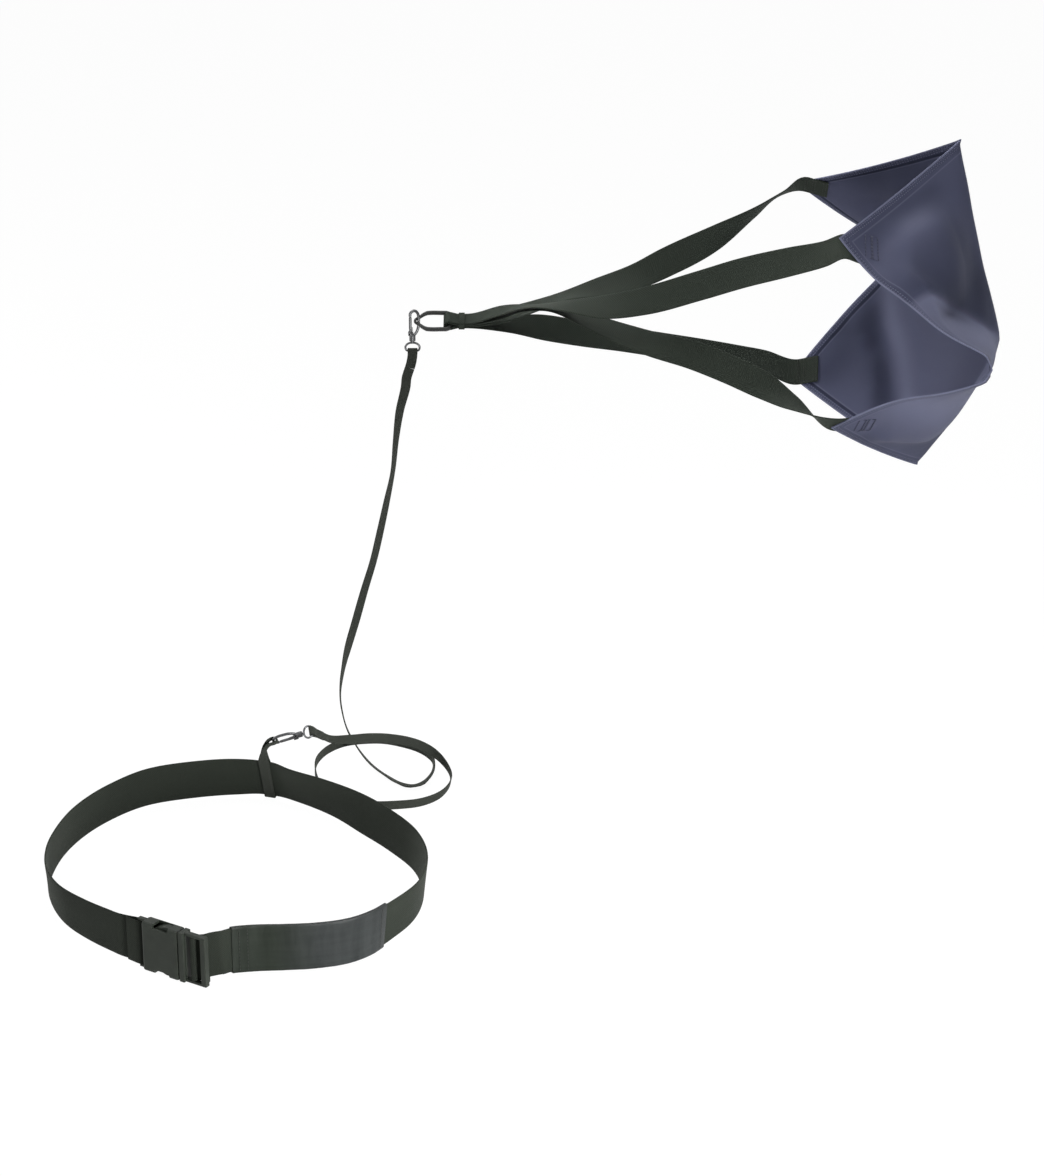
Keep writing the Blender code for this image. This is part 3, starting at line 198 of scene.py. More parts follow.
# How far the hems, and the folds from the sheet's middle, bow away from straight half-way along.
HEM_BOW = {
    ("upper_far", "top"): Vector((0, 0, -0.004)),
    ("upper_near", "top"): Vector((0, 0, -0.002)),
    ("upper_near", "near"): Vector((-0.005, 0, -0.010)),
    ("lower_near", "near"): Vector((0, 0, 0.006)),
    ("lower_near", "bottom"): Vector((0, 0, -0.003)),
    ("lower_far", "bottom"): Vector((0, 0, -0.003)),
    ("lower_far", "far"): Vector((-0.001, 0.006, 0.002)),
    ("upper_far", "far"): Vector((-0.002, 0.006, -0.004)),
}
FOLD_BOW = {
    "top": Vector((-0.001, 0, 0)),
    "near": Vector((-0.001, 0, -0.016)),
    "bottom": Vector((0.007, 0, -0.003)),
    "far": Vector((0.010, 0.008, 0)),
}

# How far a strap's end sits from its corner's diagonal: share of the way to the first hem's middle.
STRAP_SHIFT = {"upper_far": 0.010, "upper_near": 0.020, "lower_far": 0.012, "lower_near": -0.008}
STRAP_OVERLAP = 0.034
STRAP_SEAT = 0.0006

# The sewn band round the straps: thickness, half its width, and its place behind the ring.
TACK_THICKNESS = 0.0008
TACK_HALF = 0.003
TACK_PLACE = 0.0125

# Stitching at each corner, from the strap's middle line: on the strap, and on the outer face.
INNER_BOX = 0.0132
OUTER_BOX = 0.0128

# Each strap leg from the ring's tack to its corner: x, y, z, roll of its width in degrees.
LEG_ROUTE = {
    "upper_near": [
        (0.263, 0.233, 0.5065, 76), (0.299, 0.218, 0.516, 98), (0.331, 0.206, 0.52, 82),
        (0.369, 0.192, 0.523, 52), (0.407, 0.18, 0.5325, 36), (0.46, 0.167, 0.5518, 27),
        (0.501, 0.158, 0.5672, 25), (0.546, 0.147, 0.5815, 34), (0.579, 0.14, 0.5915, 48),
    ],
    "lower_near": [
        (0.263, 0.237, 0.5005, 82), (0.29, 0.23, 0.509, 97), (0.314, 0.223, 0.512, 96),
        (0.351, 0.213, 0.5025, 80), (0.381, 0.205, 0.4925, 66), (0.413, 0.195, 0.484, 53),
        (0.457, 0.183, 0.475, 36), (0.492, 0.171, 0.464, 36), (0.525, 0.159, 0.451, 48),
        (0.55, 0.148, 0.4385, 78),
    ],
    "upper_far": [
        (0.263, 0.255, 0.4945, 70), (0.299, 0.267, 0.502, 88), (0.324, 0.276, 0.508, 92),
        (0.365, 0.291, 0.5145, 69), (0.407, 0.308, 0.523, 49), (0.434, 0.32, 0.533, 28),
        (0.486, 0.343, 0.553, -8), (0.53, 0.365, 0.5755, -46), (0.558, 0.38, 0.5915, -62),
    ],
    "lower_far": [
        (0.263, 0.256, 0.485, 66), (0.304, 0.279, 0.4755, 42), (0.345, 0.301, 0.4625, 38),
        (0.387, 0.323, 0.45, 40), (0.436, 0.348, 0.4345, 39), (0.474, 0.367, 0.4225, 37),
        (0.522, 0.389, 0.4075, 38), (0.548, 0.402, 0.399, 42),
    ],
}

# The crease in the upper near quarter, from this share of its near hem to the sheet's middle.
CREASE_START = 0.43

# How far the fold at the near corner stands out on both sides, which blunts its tip.
BLUNT_TIP = 0.0085

# The near hem hangs straighter from tip to corners than a plain curve: rise, middle and reach.
HEM_PULLS = [(0.0050, 0.098, 0.040), (-0.0080, -0.066, 0.046)]

# The whole sheet's unevenness: height, and how many bumps lie in a metre.
CRUMPLE_HEIGHT = 0.0012
CRUMPLE_RATE = 22.0

# Rows of the sheet's mesh between its hem and its middle.
SHEET_ROWS = 36


def cloth_lines(unit, rows):
    """Soft lines on the flat sheet, from rows in millimetres whose rises are in the given unit."""
    return [
        (rise / unit, left / 1000, right / 1000, [Vector((x / 1000, y / 1000)) for x, y in points])
        for rise, left, right, *points in rows
    ]


# Soft folds on the flat sheet: height outward, half-widths to the left and right of the fold's way,
# then the points it runs through, towards the near side and upward, all in millimetres.
SHEET_FOLDS = cloth_lines(1000, [
    (
        11, 28, 50, (-10, 128), (60, 146), (100, 152), (140, 156), (164, 150), (178, 138),
        (190, 118), (200, 80), (206, 40),
    ),
    (5.5, 22, 40, (280, 104), (173, 104), (150, 95), (113, 76), (70, 49), (32, 22), (-50, -25)),
    (-4, 18, 22, (230, 182), (120, 190), (10, 172)),
    (8.5, 17, 18, (-250, 0), (-148, -106), (-108, -138), (-79, -152), (-20, -185)),
    (-5, 12, 12, (-155, -115), (-112, -156), (-85, -205)),
    (4, 18, 18, (-190, -100), (-176, -150), (-168, -205)),
    (8, 22, 50, (215, -210), (146, -182), (122, -158), (90, -147), (60, -141), (12, -136)),
    (3.5, 26, 26, (-180, 165), (-90, 90), (0, 15)),
    (-3.5, 22, 22, (-105, 190), (-40, 95)),
])

# Painted shade in the sheet's hollows and painted highlights over its ridges and the crease's lit
# facet: depth of the painted shade, below zero for a painted highlight, then as above.
PAINTED_SHEET_SHADING = cloth_lines(1, [
    (0.62, 7, 52, (270, 110), (172, 111), (147, 102), (109, 84), (66, 56), (28, 30), (-60, -25)),
    (0.42, 30, 30, (100, 180), (52, 118), (26, 76), (-40, 0)),
    (-1.1, 50, 6, (280, 99), (174, 98), (152, 89), (116, 70), (73, 43), (35, 16), (-50, -36)),
    (-0.3, 16, 14, (215, 130), (190, 154), (160, 166), (120, 168), (80, 160), (20, 140)),
    (0.34, 15, 12, (230, 186), (160, 192), (100, 188), (20, 170)),
    (0.32, 14, 14, (-250, -20), (-166, -104), (-132, -138), (-98, -158), (-30, -190)),
    (-0.45, 14, 18, (-250, 10), (-157, -81), (-125, -103), (-85, -138), (-30, -170)),
    (0.26, 20, 20, (-150, -90), (-166, -140), (-178, -205)),
    (0.2, 30, 30, (-210, -90), (-190, -150), (-170, -210)),
    (0.3, 20, 16, (240, -215), (130, -190), (80, -172), (-40, -155)),
    (-0.72, 50, 50, (240, -125), (120, -80), (0, -50)),
    (-0.42, 60, 60, (-160, 10), (-50, -60), (30, -110)),
    (0.34, 45, 45, (-170, 230), (-60, 170), (30, 120)),
])


def hermite(before, start, end, after, near, length, far, t):
    """One point of a cubic whose slopes are weighed by the chords on both sides."""
    row = []
    for p0, p1, p2, p3 in zip(before, start, end, after):
        slope_in = ((p1 - p0) / near * length + (p2 - p1) / length * near) / (near + length) * length
        slope_out = ((p2 - p1) / length * far + (p3 - p2) / far * length) / (length + far) * length
        row.append(
            (2 * t**3 - 3 * t**2 + 1) * p1
            + (t**3 - 2 * t**2 + t) * slope_in
            + (-2 * t**3 + 3 * t**2) * p2
            + (t**3 - t**2) * slope_out
        )
    return tuple(row)


def spline(rows, spacing, closed=False):
    """Samples, about spacing apart, of a smooth curve through rows that start with x, y, z.

    Each sample has the rows' values and then its own row number.
    """
    rows = [tuple(row) for row in rows]
    count = len(rows)
    samples = []
    for span in range(count if closed else count - 1):
        before = rows[(span - 1) % count] if closed or span > 0 else None
        start, end = rows[span % count], rows[(span + 1) % count]
        after = rows[(span + 2) % count] if closed or span + 2 < count else None
        before = before or tuple(2 * a - b for a, b in zip(start, end))
        after = after or tuple(2 * b - a for a, b in zip(start, end))
        length = math.dist(start[:3], end[:3])
        near = max(math.dist(before[:3], start[:3]), 1e-6)
        far = max(math.dist(end[:3], after[:3]), 1e-6)
        steps = max(1, round(length / spacing))
        for t in (step / steps for step in range(steps)):
            samples.append((*hermite(before, start, end, after, near, length, far, t), span + t))
    if not closed:
        samples.append((*rows[-1], count - 1))
    return samples


def tangents(points, closed=False):
    """The unit direction along the points at each of them."""
    before, after = (points[-1], points[0]) if closed else (points[0], points[-1])
    padded = [before, *points, after]
    return [(ahead - behind).normalized() for behind, ahead in zip(padded, padded[2:])]


def reaches(points):
    """The distance along the points to each of them."""
    reach = [0.0]
    for before, after in zip(points, points[1:]):
        reach.append(reach[-1] + (after - before).length)
    return reach


def towards(vector, guide):
    """The vector, or its reverse where that points more to the guide's side."""
    return -vector if vector.dot(guide) < 0 else vector


def turned(first, second, degrees):
    """The first vector turned towards the second."""
    angle = math.radians(degrees)
    return first * math.cos(angle) + second * math.sin(angle)


def square_to(direction, along):
    """The unit vector nearest to direction that is square to along."""
    return (direction - direction.dot(along) * along).normalized()


def rolled(along, degrees):
    """A width direction: straight up for 0 degrees, turned towards the far side by the roll."""
    along = along.normalized()
    up = square_to(Z_AXIS if abs(along.z) < 0.9 else Y_AXIS, along)
    return turned(up, up.cross(along), degrees)


def directed_rows(points, widths):
    """Rows for spline: points, and width vectors that each agree with the one before."""
    rows = []
    last = widths[0]
    for point, width in zip(points, widths):
        last = towards(width, last)
        rows.append((*point, *last))
    return rows


def along_rows(rows, spacing, closed=False):
    """Centres and half-width vectors of webbing along a spline of rows."""
    samples = spline(rows, spacing, closed)
    centres = [Vector(sample[:3]) for sample in samples]
    halves = []
    for sample, heading in zip(samples, tangents(centres, closed)):
        half = Vector(sample[3:6])
        halves.append(square_to(half, heading) * half.length)
    return centres, halves


def route_points(route, before, after):
    """A route's points and its headings there, between the points before and after it."""
    points = [Vector(row[:3]) for row in route]
    return points, tangents([before, *points, after])[1:-1]


def frame_from(place, x_axis, z_axis):
    """A matrix whose local axes are given by two directions."""
    z_axis = z_axis.normalized()
    x_axis = square_to(x_axis, z_axis)
    turn = Matrix((x_axis, z_axis.cross(x_axis), z_axis)).transposed().to_4x4()
    return Matrix.Translation(place) @ turn


BUCKLE = frame_from(BUCKLE_PLACE, turned(X_AXIS, Y_AXIS, BUCKLE_HEADING), Z_AXIS)
UPPER_HOOK = frame_from(UPPER_HOOK_PLACE, turned(X_AXIS, Y_AXIS, UPPER_HOOK_TURN), Z_AXIS)
LOWER_HOOK = frame_from(LOWER_HOOK_PLACE, Vector((-0.34, -0.50, 0.80)), LOWER_HOOK_AIM)
UPPER_EYE = frame_from(UPPER_HOOK_PLACE, X_AXIS, Z_AXIS)
LOWER_EYE = frame_from(LOWER_HOOK_PLACE, Vector((0.20, -0.80, -0.50)), LOWER_HOOK_AIM)

# The ring's nose bears on the upper hook's spine, and the straps go round its far end.
RING_CROSS = Vector((0, 0.894, 0.448)).normalized()
RING_NORMAL = X_AXIS.cross(RING_CROSS)
RING_ORIGIN = UPPER_HOOK @ Vector((HOOK_REACH, 0, RING_ON_SPINE))
RING_ORIGIN -= X_AXIS * (HOOK_WIRE + GAP + RING_NOSE)
RING_END = RING_ORIGIN + X_AXIS * RING_LENGTH
BUNCHED_HALF = RING_CROSS * (STRAP_BUNCHED / 2)


def sheet_point(name, u, v):
    """A point of one quarter of the canopy, by shares of the way along its corner's two edges."""
    corner = CORNER[name]
    first, second = CORNER_EDGES[name]
    start, end = EDGE_MIDDLE[first], EDGE_MIDDLE[second]
    flat = corner * (1 - u) * (1 - v) + start * u * (1 - v) + end * v * (1 - u)
    flat += CANOPY_MIDDLE * u * v
    flat += 4 * u * (1 - u) * ((1 - v) * HEM_BOW[name, first] + v * FOLD_BOW[second])
    flat += 4 * v * (1 - v) * ((1 - u) * HEM_BOW[name, second] + u * FOLD_BOW[first])
    across = (start - end).cross(CANOPY_MIDDLE - corner).normalized()
    outward = -towards(across, MOUTH_MIDDLE - flat)
    return flat + outward * CANOPY_BULGE * (math.sin(math.pi * u) * math.sin(math.pi * v)) ** 2


# Making pieces


def dress(thing, slot, *nodes):
    """Hides the solids that a piece stands for; the slot it is given is not used."""
    if nodes:
        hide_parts(*nodes)
    return thing


def ride(thing, body, slot, *nodes):
    """Puts a dressed piece on a body."""
    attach(dress(thing, slot, *nodes), body)


def new_object(name, data):
    thing = bpy.data.objects.new(name, data)
    scene.collection.objects.link(thing)
    return thing


def new_piece(name, build, material, smooth_angle=60):
    """A built mesh in one material, with edges that are sharp beyond an angle."""
    mesh = bpy.data.meshes.new(name)
    build.to_mesh(mesh)
    build.free()
    mesh.materials.append(material)
    mesh.shade_smooth()
    mesh.set_sharp_from_angle(angle=math.radians(smooth_angle))
    return new_object(name, mesh)


def uv_face(build, uv, corners):
    """A face through corners of (vertex, its place on the cloth in metres)."""
    face = build.faces.new([corner[0] for corner in corners])
    for loop, corner in zip(face.loops, corners):
        loop[uv].uv = corner[1]


def skin(build, uv, rings, reach, closed=False, inside_out=False):
    """Faces between rings of (vertex, distance across); reach holds the rings' distances along."""
    for span in range(len(rings) if closed else len(rings) - 1):
        here, there = rings[span], rings[(span + 1) % len(rings)]
        for index in range(len(here)):
            beside = (index + 1) % len(here)
            corners = [(*here[index], reach[span]), (*there[index], reach[span + 1])]
            corners += [(*there[beside], reach[span + 1]), (*here[beside], reach[span])]
            corners = [(vertex, (along, across)) for vertex, across, along in corners]
            uv_face(build, uv, corners[::-1] if inside_out else corners)


# Across a webbing's section: share of the half width, and share of the thickness there on one face.
SELVEDGE = [(-1.0, 0.30), (-0.975, 0.74), (-0.93, 0.96), (-0.85, 1.0), (-0.45, 0.94), (0.0, 0.92)]
SELVEDGE += [(-across, deep) for across, deep in reversed(SELVEDGE[:-1])]
WEBBING_SECTION = SELVEDGE + [(across, -deep) for across, deep in reversed(SELVEDGE)]


def webbing(name, centres, halves, thickness, material, closed=False):
    """Woven webbing with rounded selvedges; its UVs run in metres along it and across it."""
    build = bmesh.new()
    uv = build.loops.layers.uv.new("UVMap")
    rings = []
    for centre, half, heading in zip(centres, halves, tangents(centres, closed)):
        half = square_to(half, heading) * half.length
        out = heading.cross(half).normalized() * (thickness / 2)
        rings.append([
            (build.verts.new(centre + half * across + out * deep), across * half.length)
            for across, deep in WEBBING_SECTION
        ])
    skin(build, uv, rings, reaches(centres + centres[:1]), closed)
    if not closed:
        for ring in (rings[0][::-1], rings[-1]):
            build.faces.new([vertex[0] for vertex in ring])
    bmesh.ops.recalc_face_normals(build, faces=build.faces)
    return new_piece(name, build, material)


def stitch_run(build, points, out, length=0.0026, gap=0.0011, radius=0.00022):
    """A row of thread stitches along points, each a low rounded bar on the cloth."""
    reach = reaches(points)

    def place(distance):
        for index in range(1, len(points)):
            if distance <= reach[index] or index == len(points) - 1:
                share = (distance - reach[index - 1]) / max(reach[index] - reach[index - 1], 1e-9)
                return points[index - 1].lerp(points[index], share)

    count = max(1, round(reach[-1] / (length + gap)))
    pitch = reach[-1] / count
    for stitch in range(count):
        start, end = place(stitch * pitch + gap / 2), place((stitch + 1) * pitch - gap / 2)
        side = (end - start).normalized().cross(out).normalized()
        rings = []
        for share, size in ((0.0, 0.35), (0.18, 1.0), (0.82, 1.0), (1.0, 0.35)):
            centre = start.lerp(end, share)
            ring = [centre + turned(side, out, 60 * turn) * radius * size for turn in range(6)]
            rings.append([build.verts.new(spot) for spot in ring])
        for here, there in zip(rings, rings[1:]):
            for corner in range(6):
                beside = (corner + 1) % 6
                build.faces.new((here[corner], here[beside], there[beside], there[corner]))
        build.faces.new(rings[0][::-1])
        build.faces.new(rings[-1])


# Materials


class Nodes:
    """A node tree with short calls for the nodes used here."""

    def __init__(self, tree):
        self.tree = tree

    def link(self, source, target):
        self.tree.links.new(source, target)

    def node(self, kind, values=(), **settings):
        node = self.tree.nodes.new("ShaderNode" + kind)
        for key, value in settings.items():
            setattr(node, key, value)
        for key, value in dict(values).items():
            if hasattr(value, "is_output"):
                self.link(value, node.inputs[key])
            else:
                node.inputs[key].default_value = value
        return node

    def math(self, operation, *values, clamp=False):
        settings = {"operation": operation, "use_clamp": clamp}
        return self.node("Math", dict(enumerate(values)), **settings).outputs[0]

    def times(self, first, second):
        return self.math("MULTIPLY", first, second)

    def blend(self, value, factor, base, clamp=False):
        """The base, with the value added by a factor."""
        return self.math("MULTIPLY_ADD", value, factor, base, clamp=clamp)

    def between(self, value, low, high, lowest=0.0, highest=1.0):
        """The value's range from low to high, spread over another range."""
        values = {0: value, 1: low, 2: high, 3: lowest, 4: highest}
        return self.node("MapRange", values, clamp=True).outputs[0]

    def white_rays(self):
        """1 on the rays that see the surroundings as white."""
        rays = self.node("LightPath").outputs
        return self.math("MAXIMUM", rays["Is Camera Ray"], rays["Is Glossy Ray"])


class Graph(Nodes):
    """A material's nodes."""

    def __init__(self, name, colour, roughness, metallic=0.0):
        self.material = bpy.data.materials.new(name)
        self.material.use_nodes = True
        super().__init__(self.material.node_tree)
        self.shader = self.tree.nodes["Principled BSDF"]
        self.put({"Base Color": (*colour, 1.0), "Roughness": roughness, "Metallic": metallic})

    def put(self, values):
        for key, value in values.items():
            self.shader.inputs[key].default_value = value

    def gloss(self, specular, sheen=0.0, sheen_roughness=0.5, tint=(1.0, 1.0, 1.0)):
        self.put({"Specular IOR Level": specular, "Sheen Weight": sheen})
        self.put({"Sheen Roughness": sheen_roughness, "Sheen Tint": (*tint, 1.0)})

    def finish(self, **links):
        """Links the shader's inputs, named in lower case, and gives the material."""
        names = {"colour": "Base Color", "roughness": "Roughness", "normal": "Normal"}
        for key, value in links.items():
            self.link(value, self.shader.inputs[names[key]])
        return self.material

    def uv(self):
        """The two UV distances, in metres."""
        return self.node("SeparateXYZ", {0: self.node("UVMap").outputs[0]}).outputs[:2]

    def place(self):
        """The place in the shared frame, in metres."""
        return self.node("TexCoord").outputs["Object"]

    def noise(self, scale, detail=2.0, vector=None):
        """Noise with a scale, or along the axes of a vector with three."""
        place = vector or self.place()
        if isinstance(scale, tuple):
            place = self.node("Mapping", {0: place, 3: scale}).outputs[0]
            scale = 1.0
        values = {"Vector": place, "Scale": scale, "Detail": detail}
        return self.node("TexNoise", values).outputs["Fac"]

    def wave(self, distance, pitch):
        """A sine from 0 to 1 with a given pitch in metres."""
        return self.blend(self.math("SINE", self.times(distance, math.tau / pitch)), 0.5, 0.5)

    def mix(self, share, first, second):
        """A colour between two, which are colours or other nodes' outputs."""
        node = self.node("Mix", data_type="RGBA")
        sockets = node.inputs[0], node.inputs[6], node.inputs[7]
        for socket, value in zip(sockets, (share, first, second)):
            if hasattr(value, "is_output"):
                self.link(value, socket)
            else:
                socket.default_value = (*value, 1.0)
        return node.outputs[2]

    def bump(self, height, distance, strength=1.0, below=None):
        values = {"Height": height, "Distance": distance, "Strength": strength}
        if below:
            values["Normal"] = below
        return self.node("Bump", values).outputs[0]


def webbing_material(name, dark, light, pitch, panel, specular=0.10):
    """Twill webbing: slanted ribs that turn back at each panel, over lengthwise yarns."""
    roughness = 0.78
    graph = Graph(name, dark, roughness)
    along, across = graph.uv()
    slant = graph.math("PINGPONG", graph.math("ADD", across, 0.5), panel)
    ribs = graph.wave(graph.math("ADD", along, slant), pitch)
    yarns = graph.wave(across, pitch * 0.42)
    weave = graph.blend(yarns, 0.35, graph.times(ribs, 0.65))
    fine = graph.noise(900.0)
    tone = graph.blend(weave, 0.55, graph.between(graph.noise(9.0), 0.3, 0.7, 0.0, 0.35))
    tone = graph.blend(fine, 0.25, tone, True)
    graph.gloss(specular, 0.08, 0.45, (0.75, 0.80, 0.72))
    return graph.finish(
        colour=graph.mix(tone, dark, light),
        roughness=graph.between(weave, 0.0, 1.0, roughness + 0.08, roughness - 0.08),
        normal=graph.bump(weave, 0.00018, 0.6, graph.bump(fine, 0.00006, 0.3)),
    )


def satin_material():
    """Smooth close-woven cloth, green-grey turning blue-grey from x 0.050 to 0.095, with soft
    puckers and painted sheen and shade in bands and streaks along them.
    """
    graph = Graph("sleeve_satin", (0.022, 0.026, 0.022), 0.42)
    along, across = graph.uv()
    cloth = graph.node("CombineXYZ", {0: along, 1: across}).outputs[0]
    puckers_and_sheen = graph.noise((62.0, 11.0, 1.0), 2.0, cloth)
    sheen_streaks = graph.noise((16.0, 150.0, 1.0), 3.0, cloth)
    fine = graph.noise((1800.0, 350.0, 1.0), 2.0, cloth)
    threads = graph.times(graph.wave(along, 0.0007), graph.wave(across, 0.0007))
    # Painted sheen and shade: lighter and darker bands over the puckers, and streaks; the threads
    # and fine noise are the weave and grain.
    tone = graph.blend(threads, 0.12, graph.between(puckers_and_sheen, 0.34, 0.66, 0.0, 0.55))
    tone = graph.blend(graph.between(sheen_streaks, 0.35, 0.65), 0.22, tone)
    tone = graph.blend(fine, 0.18, tone, True)
    green = graph.mix(tone, (0.009, 0.0125, 0.0085), (0.0225, 0.028, 0.0215))
    blue = graph.mix(tone, (0.016, 0.0185, 0.0185), (0.037, 0.041, 0.041))
    right = graph.node("SeparateXYZ", {0: graph.place()}).outputs[0]
    graph.gloss(0.16, 0.12, 0.3)
    return graph.finish(
        colour=graph.mix(graph.between(right, 0.050, 0.095), green, blue),
        roughness=graph.between(fine, 0.2, 0.8, 0.36, 0.50),
        normal=graph.bump(threads, 0.00008, 0.6, graph.bump(puckers_and_sheen, 0.0008, 0.8)),
    )


def sheet_material():
    """Coated cloth: fine weave, soft clouding, painted shade and painted highlights along its folds,
    and hems with rolled edge, fold and lock stitch, drawn with painted highlights and a painted
    shadow line.
    """
    base, pale = (0.080, 0.085, 0.137), (0.095, 0.101, 0.161)
    # Colours of the painted shade, and of the painted highlights, which the hem thread also takes.
    shade, glint_and_thread = (0.022, 0.025, 0.044), (0.185, 0.195, 0.288)
    # The hem's two seams: distance from the edge, and how softly its trench fades.
    seam_lines = (0.0030, 0.0010), (HEM_WIDTH - 0.0022, 0.0008)
    graph = Graph("coated_sheet", base, 0.5)
    first, second = graph.uv()
    inner = graph.math("GREATER_THAN", first, 0.5)
    first = graph.math("SUBTRACT", first, inner)
    cloth = graph.node("CombineXYZ", {0: first, 1: second}).outputs[0]
    sides = graph.math("ABSOLUTE", first), graph.math("ABSOLUTE", second)
    inset = graph.math("SUBTRACT", HALF_SHEET, graph.math("MAXIMUM", *sides))

    def line(place, half, soft):
        """1 on a line at a distance from the edge, fading over a soft border."""
        off = graph.math("ABSOLUTE", graph.math("SUBTRACT", inset, place))
        return graph.between(off, half, half + soft, 1.0, 0.0)

    weave = graph.times(graph.wave(first, 0.0009), graph.wave(second, 0.0009))
    clouds = graph.noise((14.0, 14.0, 1.0), 3.0, cloth)
    fine = graph.noise((700.0, 700.0, 1.0), 2.0, cloth)
    tone = graph.blend(fine, 0.3, graph.between(clouds, 0.3, 0.7, 0.0, 0.6), True)
    # Each vertex's depth of painted shade, below zero for painted highlight, set by the canopy.
    painted_shading = graph.node("Attribute", attribute_name="painted_shading").outputs["Fac"]
    trench = graph.math("MAXIMUM", *(line(place, 0.0003, soft) for place, soft in seam_lines))
    thread = graph.math("MAXIMUM", *(line(place, 0.00022, 0.0003) for place, _ in seam_lines))
    stitch = graph.between(graph.wave(graph.math("MINIMUM", *sides), 0.0032), 0.22, 0.34)
    thread = graph.times(thread, stitch)
    colour = graph.mix(tone, base, pale)
    # Mixes in the painted shade and painted highlights of the folds, then the hem's marks.
    for share, towards_colour in (
        (graph.between(painted_shading, 0.0, 1.0), shade),
        (graph.between(painted_shading, 0.0, -1.0), glint_and_thread),
        # The hem: a painted shadow line at its inner fold, stronger on the inner face, a painted
        # highlight beside it and along the rolled edge, painted shade in the seam trenches, and pale
        # thread.
        (graph.times(line(HEM_WIDTH, 0.0006, 0.0012), graph.blend(inner, 0.70, 0.12)), shade),
        (graph.times(line(HEM_WIDTH + 0.0022, 0.0002, 0.0010), 0.30), glint_and_thread),
        (graph.times(line(0.0, 0.0013, 0.0008), 0.75), glint_and_thread),
        (graph.times(trench, 0.45), shade),
        (graph.times(thread, 0.85), glint_and_thread),
    ):
        colour = graph.mix(share, colour, towards_colour)
    seams = graph.bump(graph.blend(thread, 0.9, graph.times(trench, -0.8)), 0.0005, 0.8)
    graph.gloss(0.02, 0.03, 0.4, (0.62, 0.68, 1.0))
    return graph.finish(
        colour=colour,
        roughness=graph.between(tone, 0.0, 1.0, 0.46, 0.56),
        normal=graph.bump(clouds, 0.0020, 0.35, graph.bump(weave, 0.00010, 0.45, seams)),
    )


def plastic_material(name, dark, light, smooth, rough, specular):
    """Moulded plastic with a fine spark-eroded grain."""
    graph = Graph(name, dark, (smooth + rough) / 2)
    grain = graph.noise(2600.0)
    tone = graph.blend(grain, 0.35, graph.between(graph.noise(60.0), 0.3, 0.7, 0.0, 0.5), True)
    graph.gloss(specular)
    return graph.finish(
        colour=graph.mix(tone, dark, light),
        roughness=graph.between(grain, 0.2, 0.8, smooth, rough),
        normal=graph.bump(grain, 0.00006, 0.6),
    )


def metal_material():
    """Dark plated metal, with soft clouding, fine scratches and duller patches."""
    dark, light = (0.060, 0.061, 0.063), (0.125, 0.127, 0.130)
    graph = Graph("dark_plating", dark, 0.32, 1.0)
    clouds = graph.noise(450.0, 3.0)
    scratches = graph.noise((400.0, 5200.0, 900.0))
    tone = graph.blend(scratches, 0.3, graph.between(clouds, 0.3, 0.7, 0.0, 0.7), True)
    return graph.finish(
        colour=graph.mix(tone, dark, light),
        roughness=graph.between(clouds, 0.3, 0.7, 0.24, 0.40),
        normal=graph.bump(scratches, 0.00003, 0.5),
    )


def thread_material(name, colour):
    """Twisted sewing thread."""
    graph = Graph(name, colour, 0.7)
    twist = graph.noise(4200.0)
    dark, light = [tuple(part * level for part in colour) for level in (0.7, 1.35)]
    return graph.finish(colour=graph.mix(twist, dark, light), normal=graph.bump(twist, 0.0001, 0.5))


BELT_WEBBING = webbing_material(
    "belt_webbing_twill", (0.010, 0.0125, 0.0095), (0.028, 0.033, 0.026), 0.0021, 0.0115
)
STRAP_WEBBING = webbing_material(
    "strap_webbing_twill", (0.018, 0.023, 0.018), (0.040, 0.048, 0.039), 0.0026, 0.0150, 0.08
)
TETHER_WEBBING = webbing_material(
    "tether_webbing_twill", (0.014, 0.017, 0.014), (0.050, 0.054, 0.046), 0.0016, 0.0050
)
SLEEVE_SATIN = satin_material()
COATED_SHEET = sheet_material()
MOULDED_PLASTIC = plastic_material(
    "moulded_plastic", (0.019, 0.023, 0.018), (0.033, 0.039, 0.031), 0.42, 0.58, 0.20
)
RING_PLASTIC = plastic_material(
    "ring_plastic", (0.006, 0.007, 0.006), (0.014, 0.015, 0.013), 0.24, 0.36, 0.45
)
DARK_PLATING = metal_material()
BLACK_THREAD = thread_material("black_thread", (0.030, 0.033, 0.029))
NAVY_THREAD = thread_material("navy_thread", (0.040, 0.044, 0.078))


# Belt


def belt_fold():
    """The folded end round the female half's bar, in the buckle's plan."""
    rows = [(BAR_X - 0.016, -0.0017), (BAR_X - 0.008, -0.0026)]
    rows += [(BAR_X + x, y) for x, y in arc(BAR_WRAP, -90, 90, 9)]
    return rows + [(BAR_X - 0.008, 0.0022), (BAR_X - 0.016, 0.0006)]


def belt_tail():
    """The way through the male half's bars and back into the sleeve, in the buckle's plan."""
    rows = [(MALE_END + 0.002, 0.0200, 0.0020), (MALE_END - 0.004, 0.0150, 0.0010)]
    rows += [(MIDDLE_BAR_X + 0.0055, 0.0090), (MIDDLE_BAR_X + 0.0010, LAYER_TWO - 0.0004)]
    rows += [(MIDDLE_BAR_X + x, y) for x, y in arc(BAR_WRAP, 135, 370, 12)]
    rows += [(MIDDLE_BAR_X + 0.0052, 0.0026), (MIDDLE_BAR_X + 0.0095, LAYER_ONE)]
    return rows + [(MALE_END - 0.0040, LAYER_ONE), (MALE_END - 0.0010, LAYER_ONE + 0.0003)]


def arc(radius, start, end, count):
    """Points of an arc round a bar, angles in degrees."""
    angles = [math.radians(start + (end - start) * index / (count - 1)) for index in range(count)]
    return [(radius * math.cos(angle), radius * math.sin(angle)) for angle in angles]


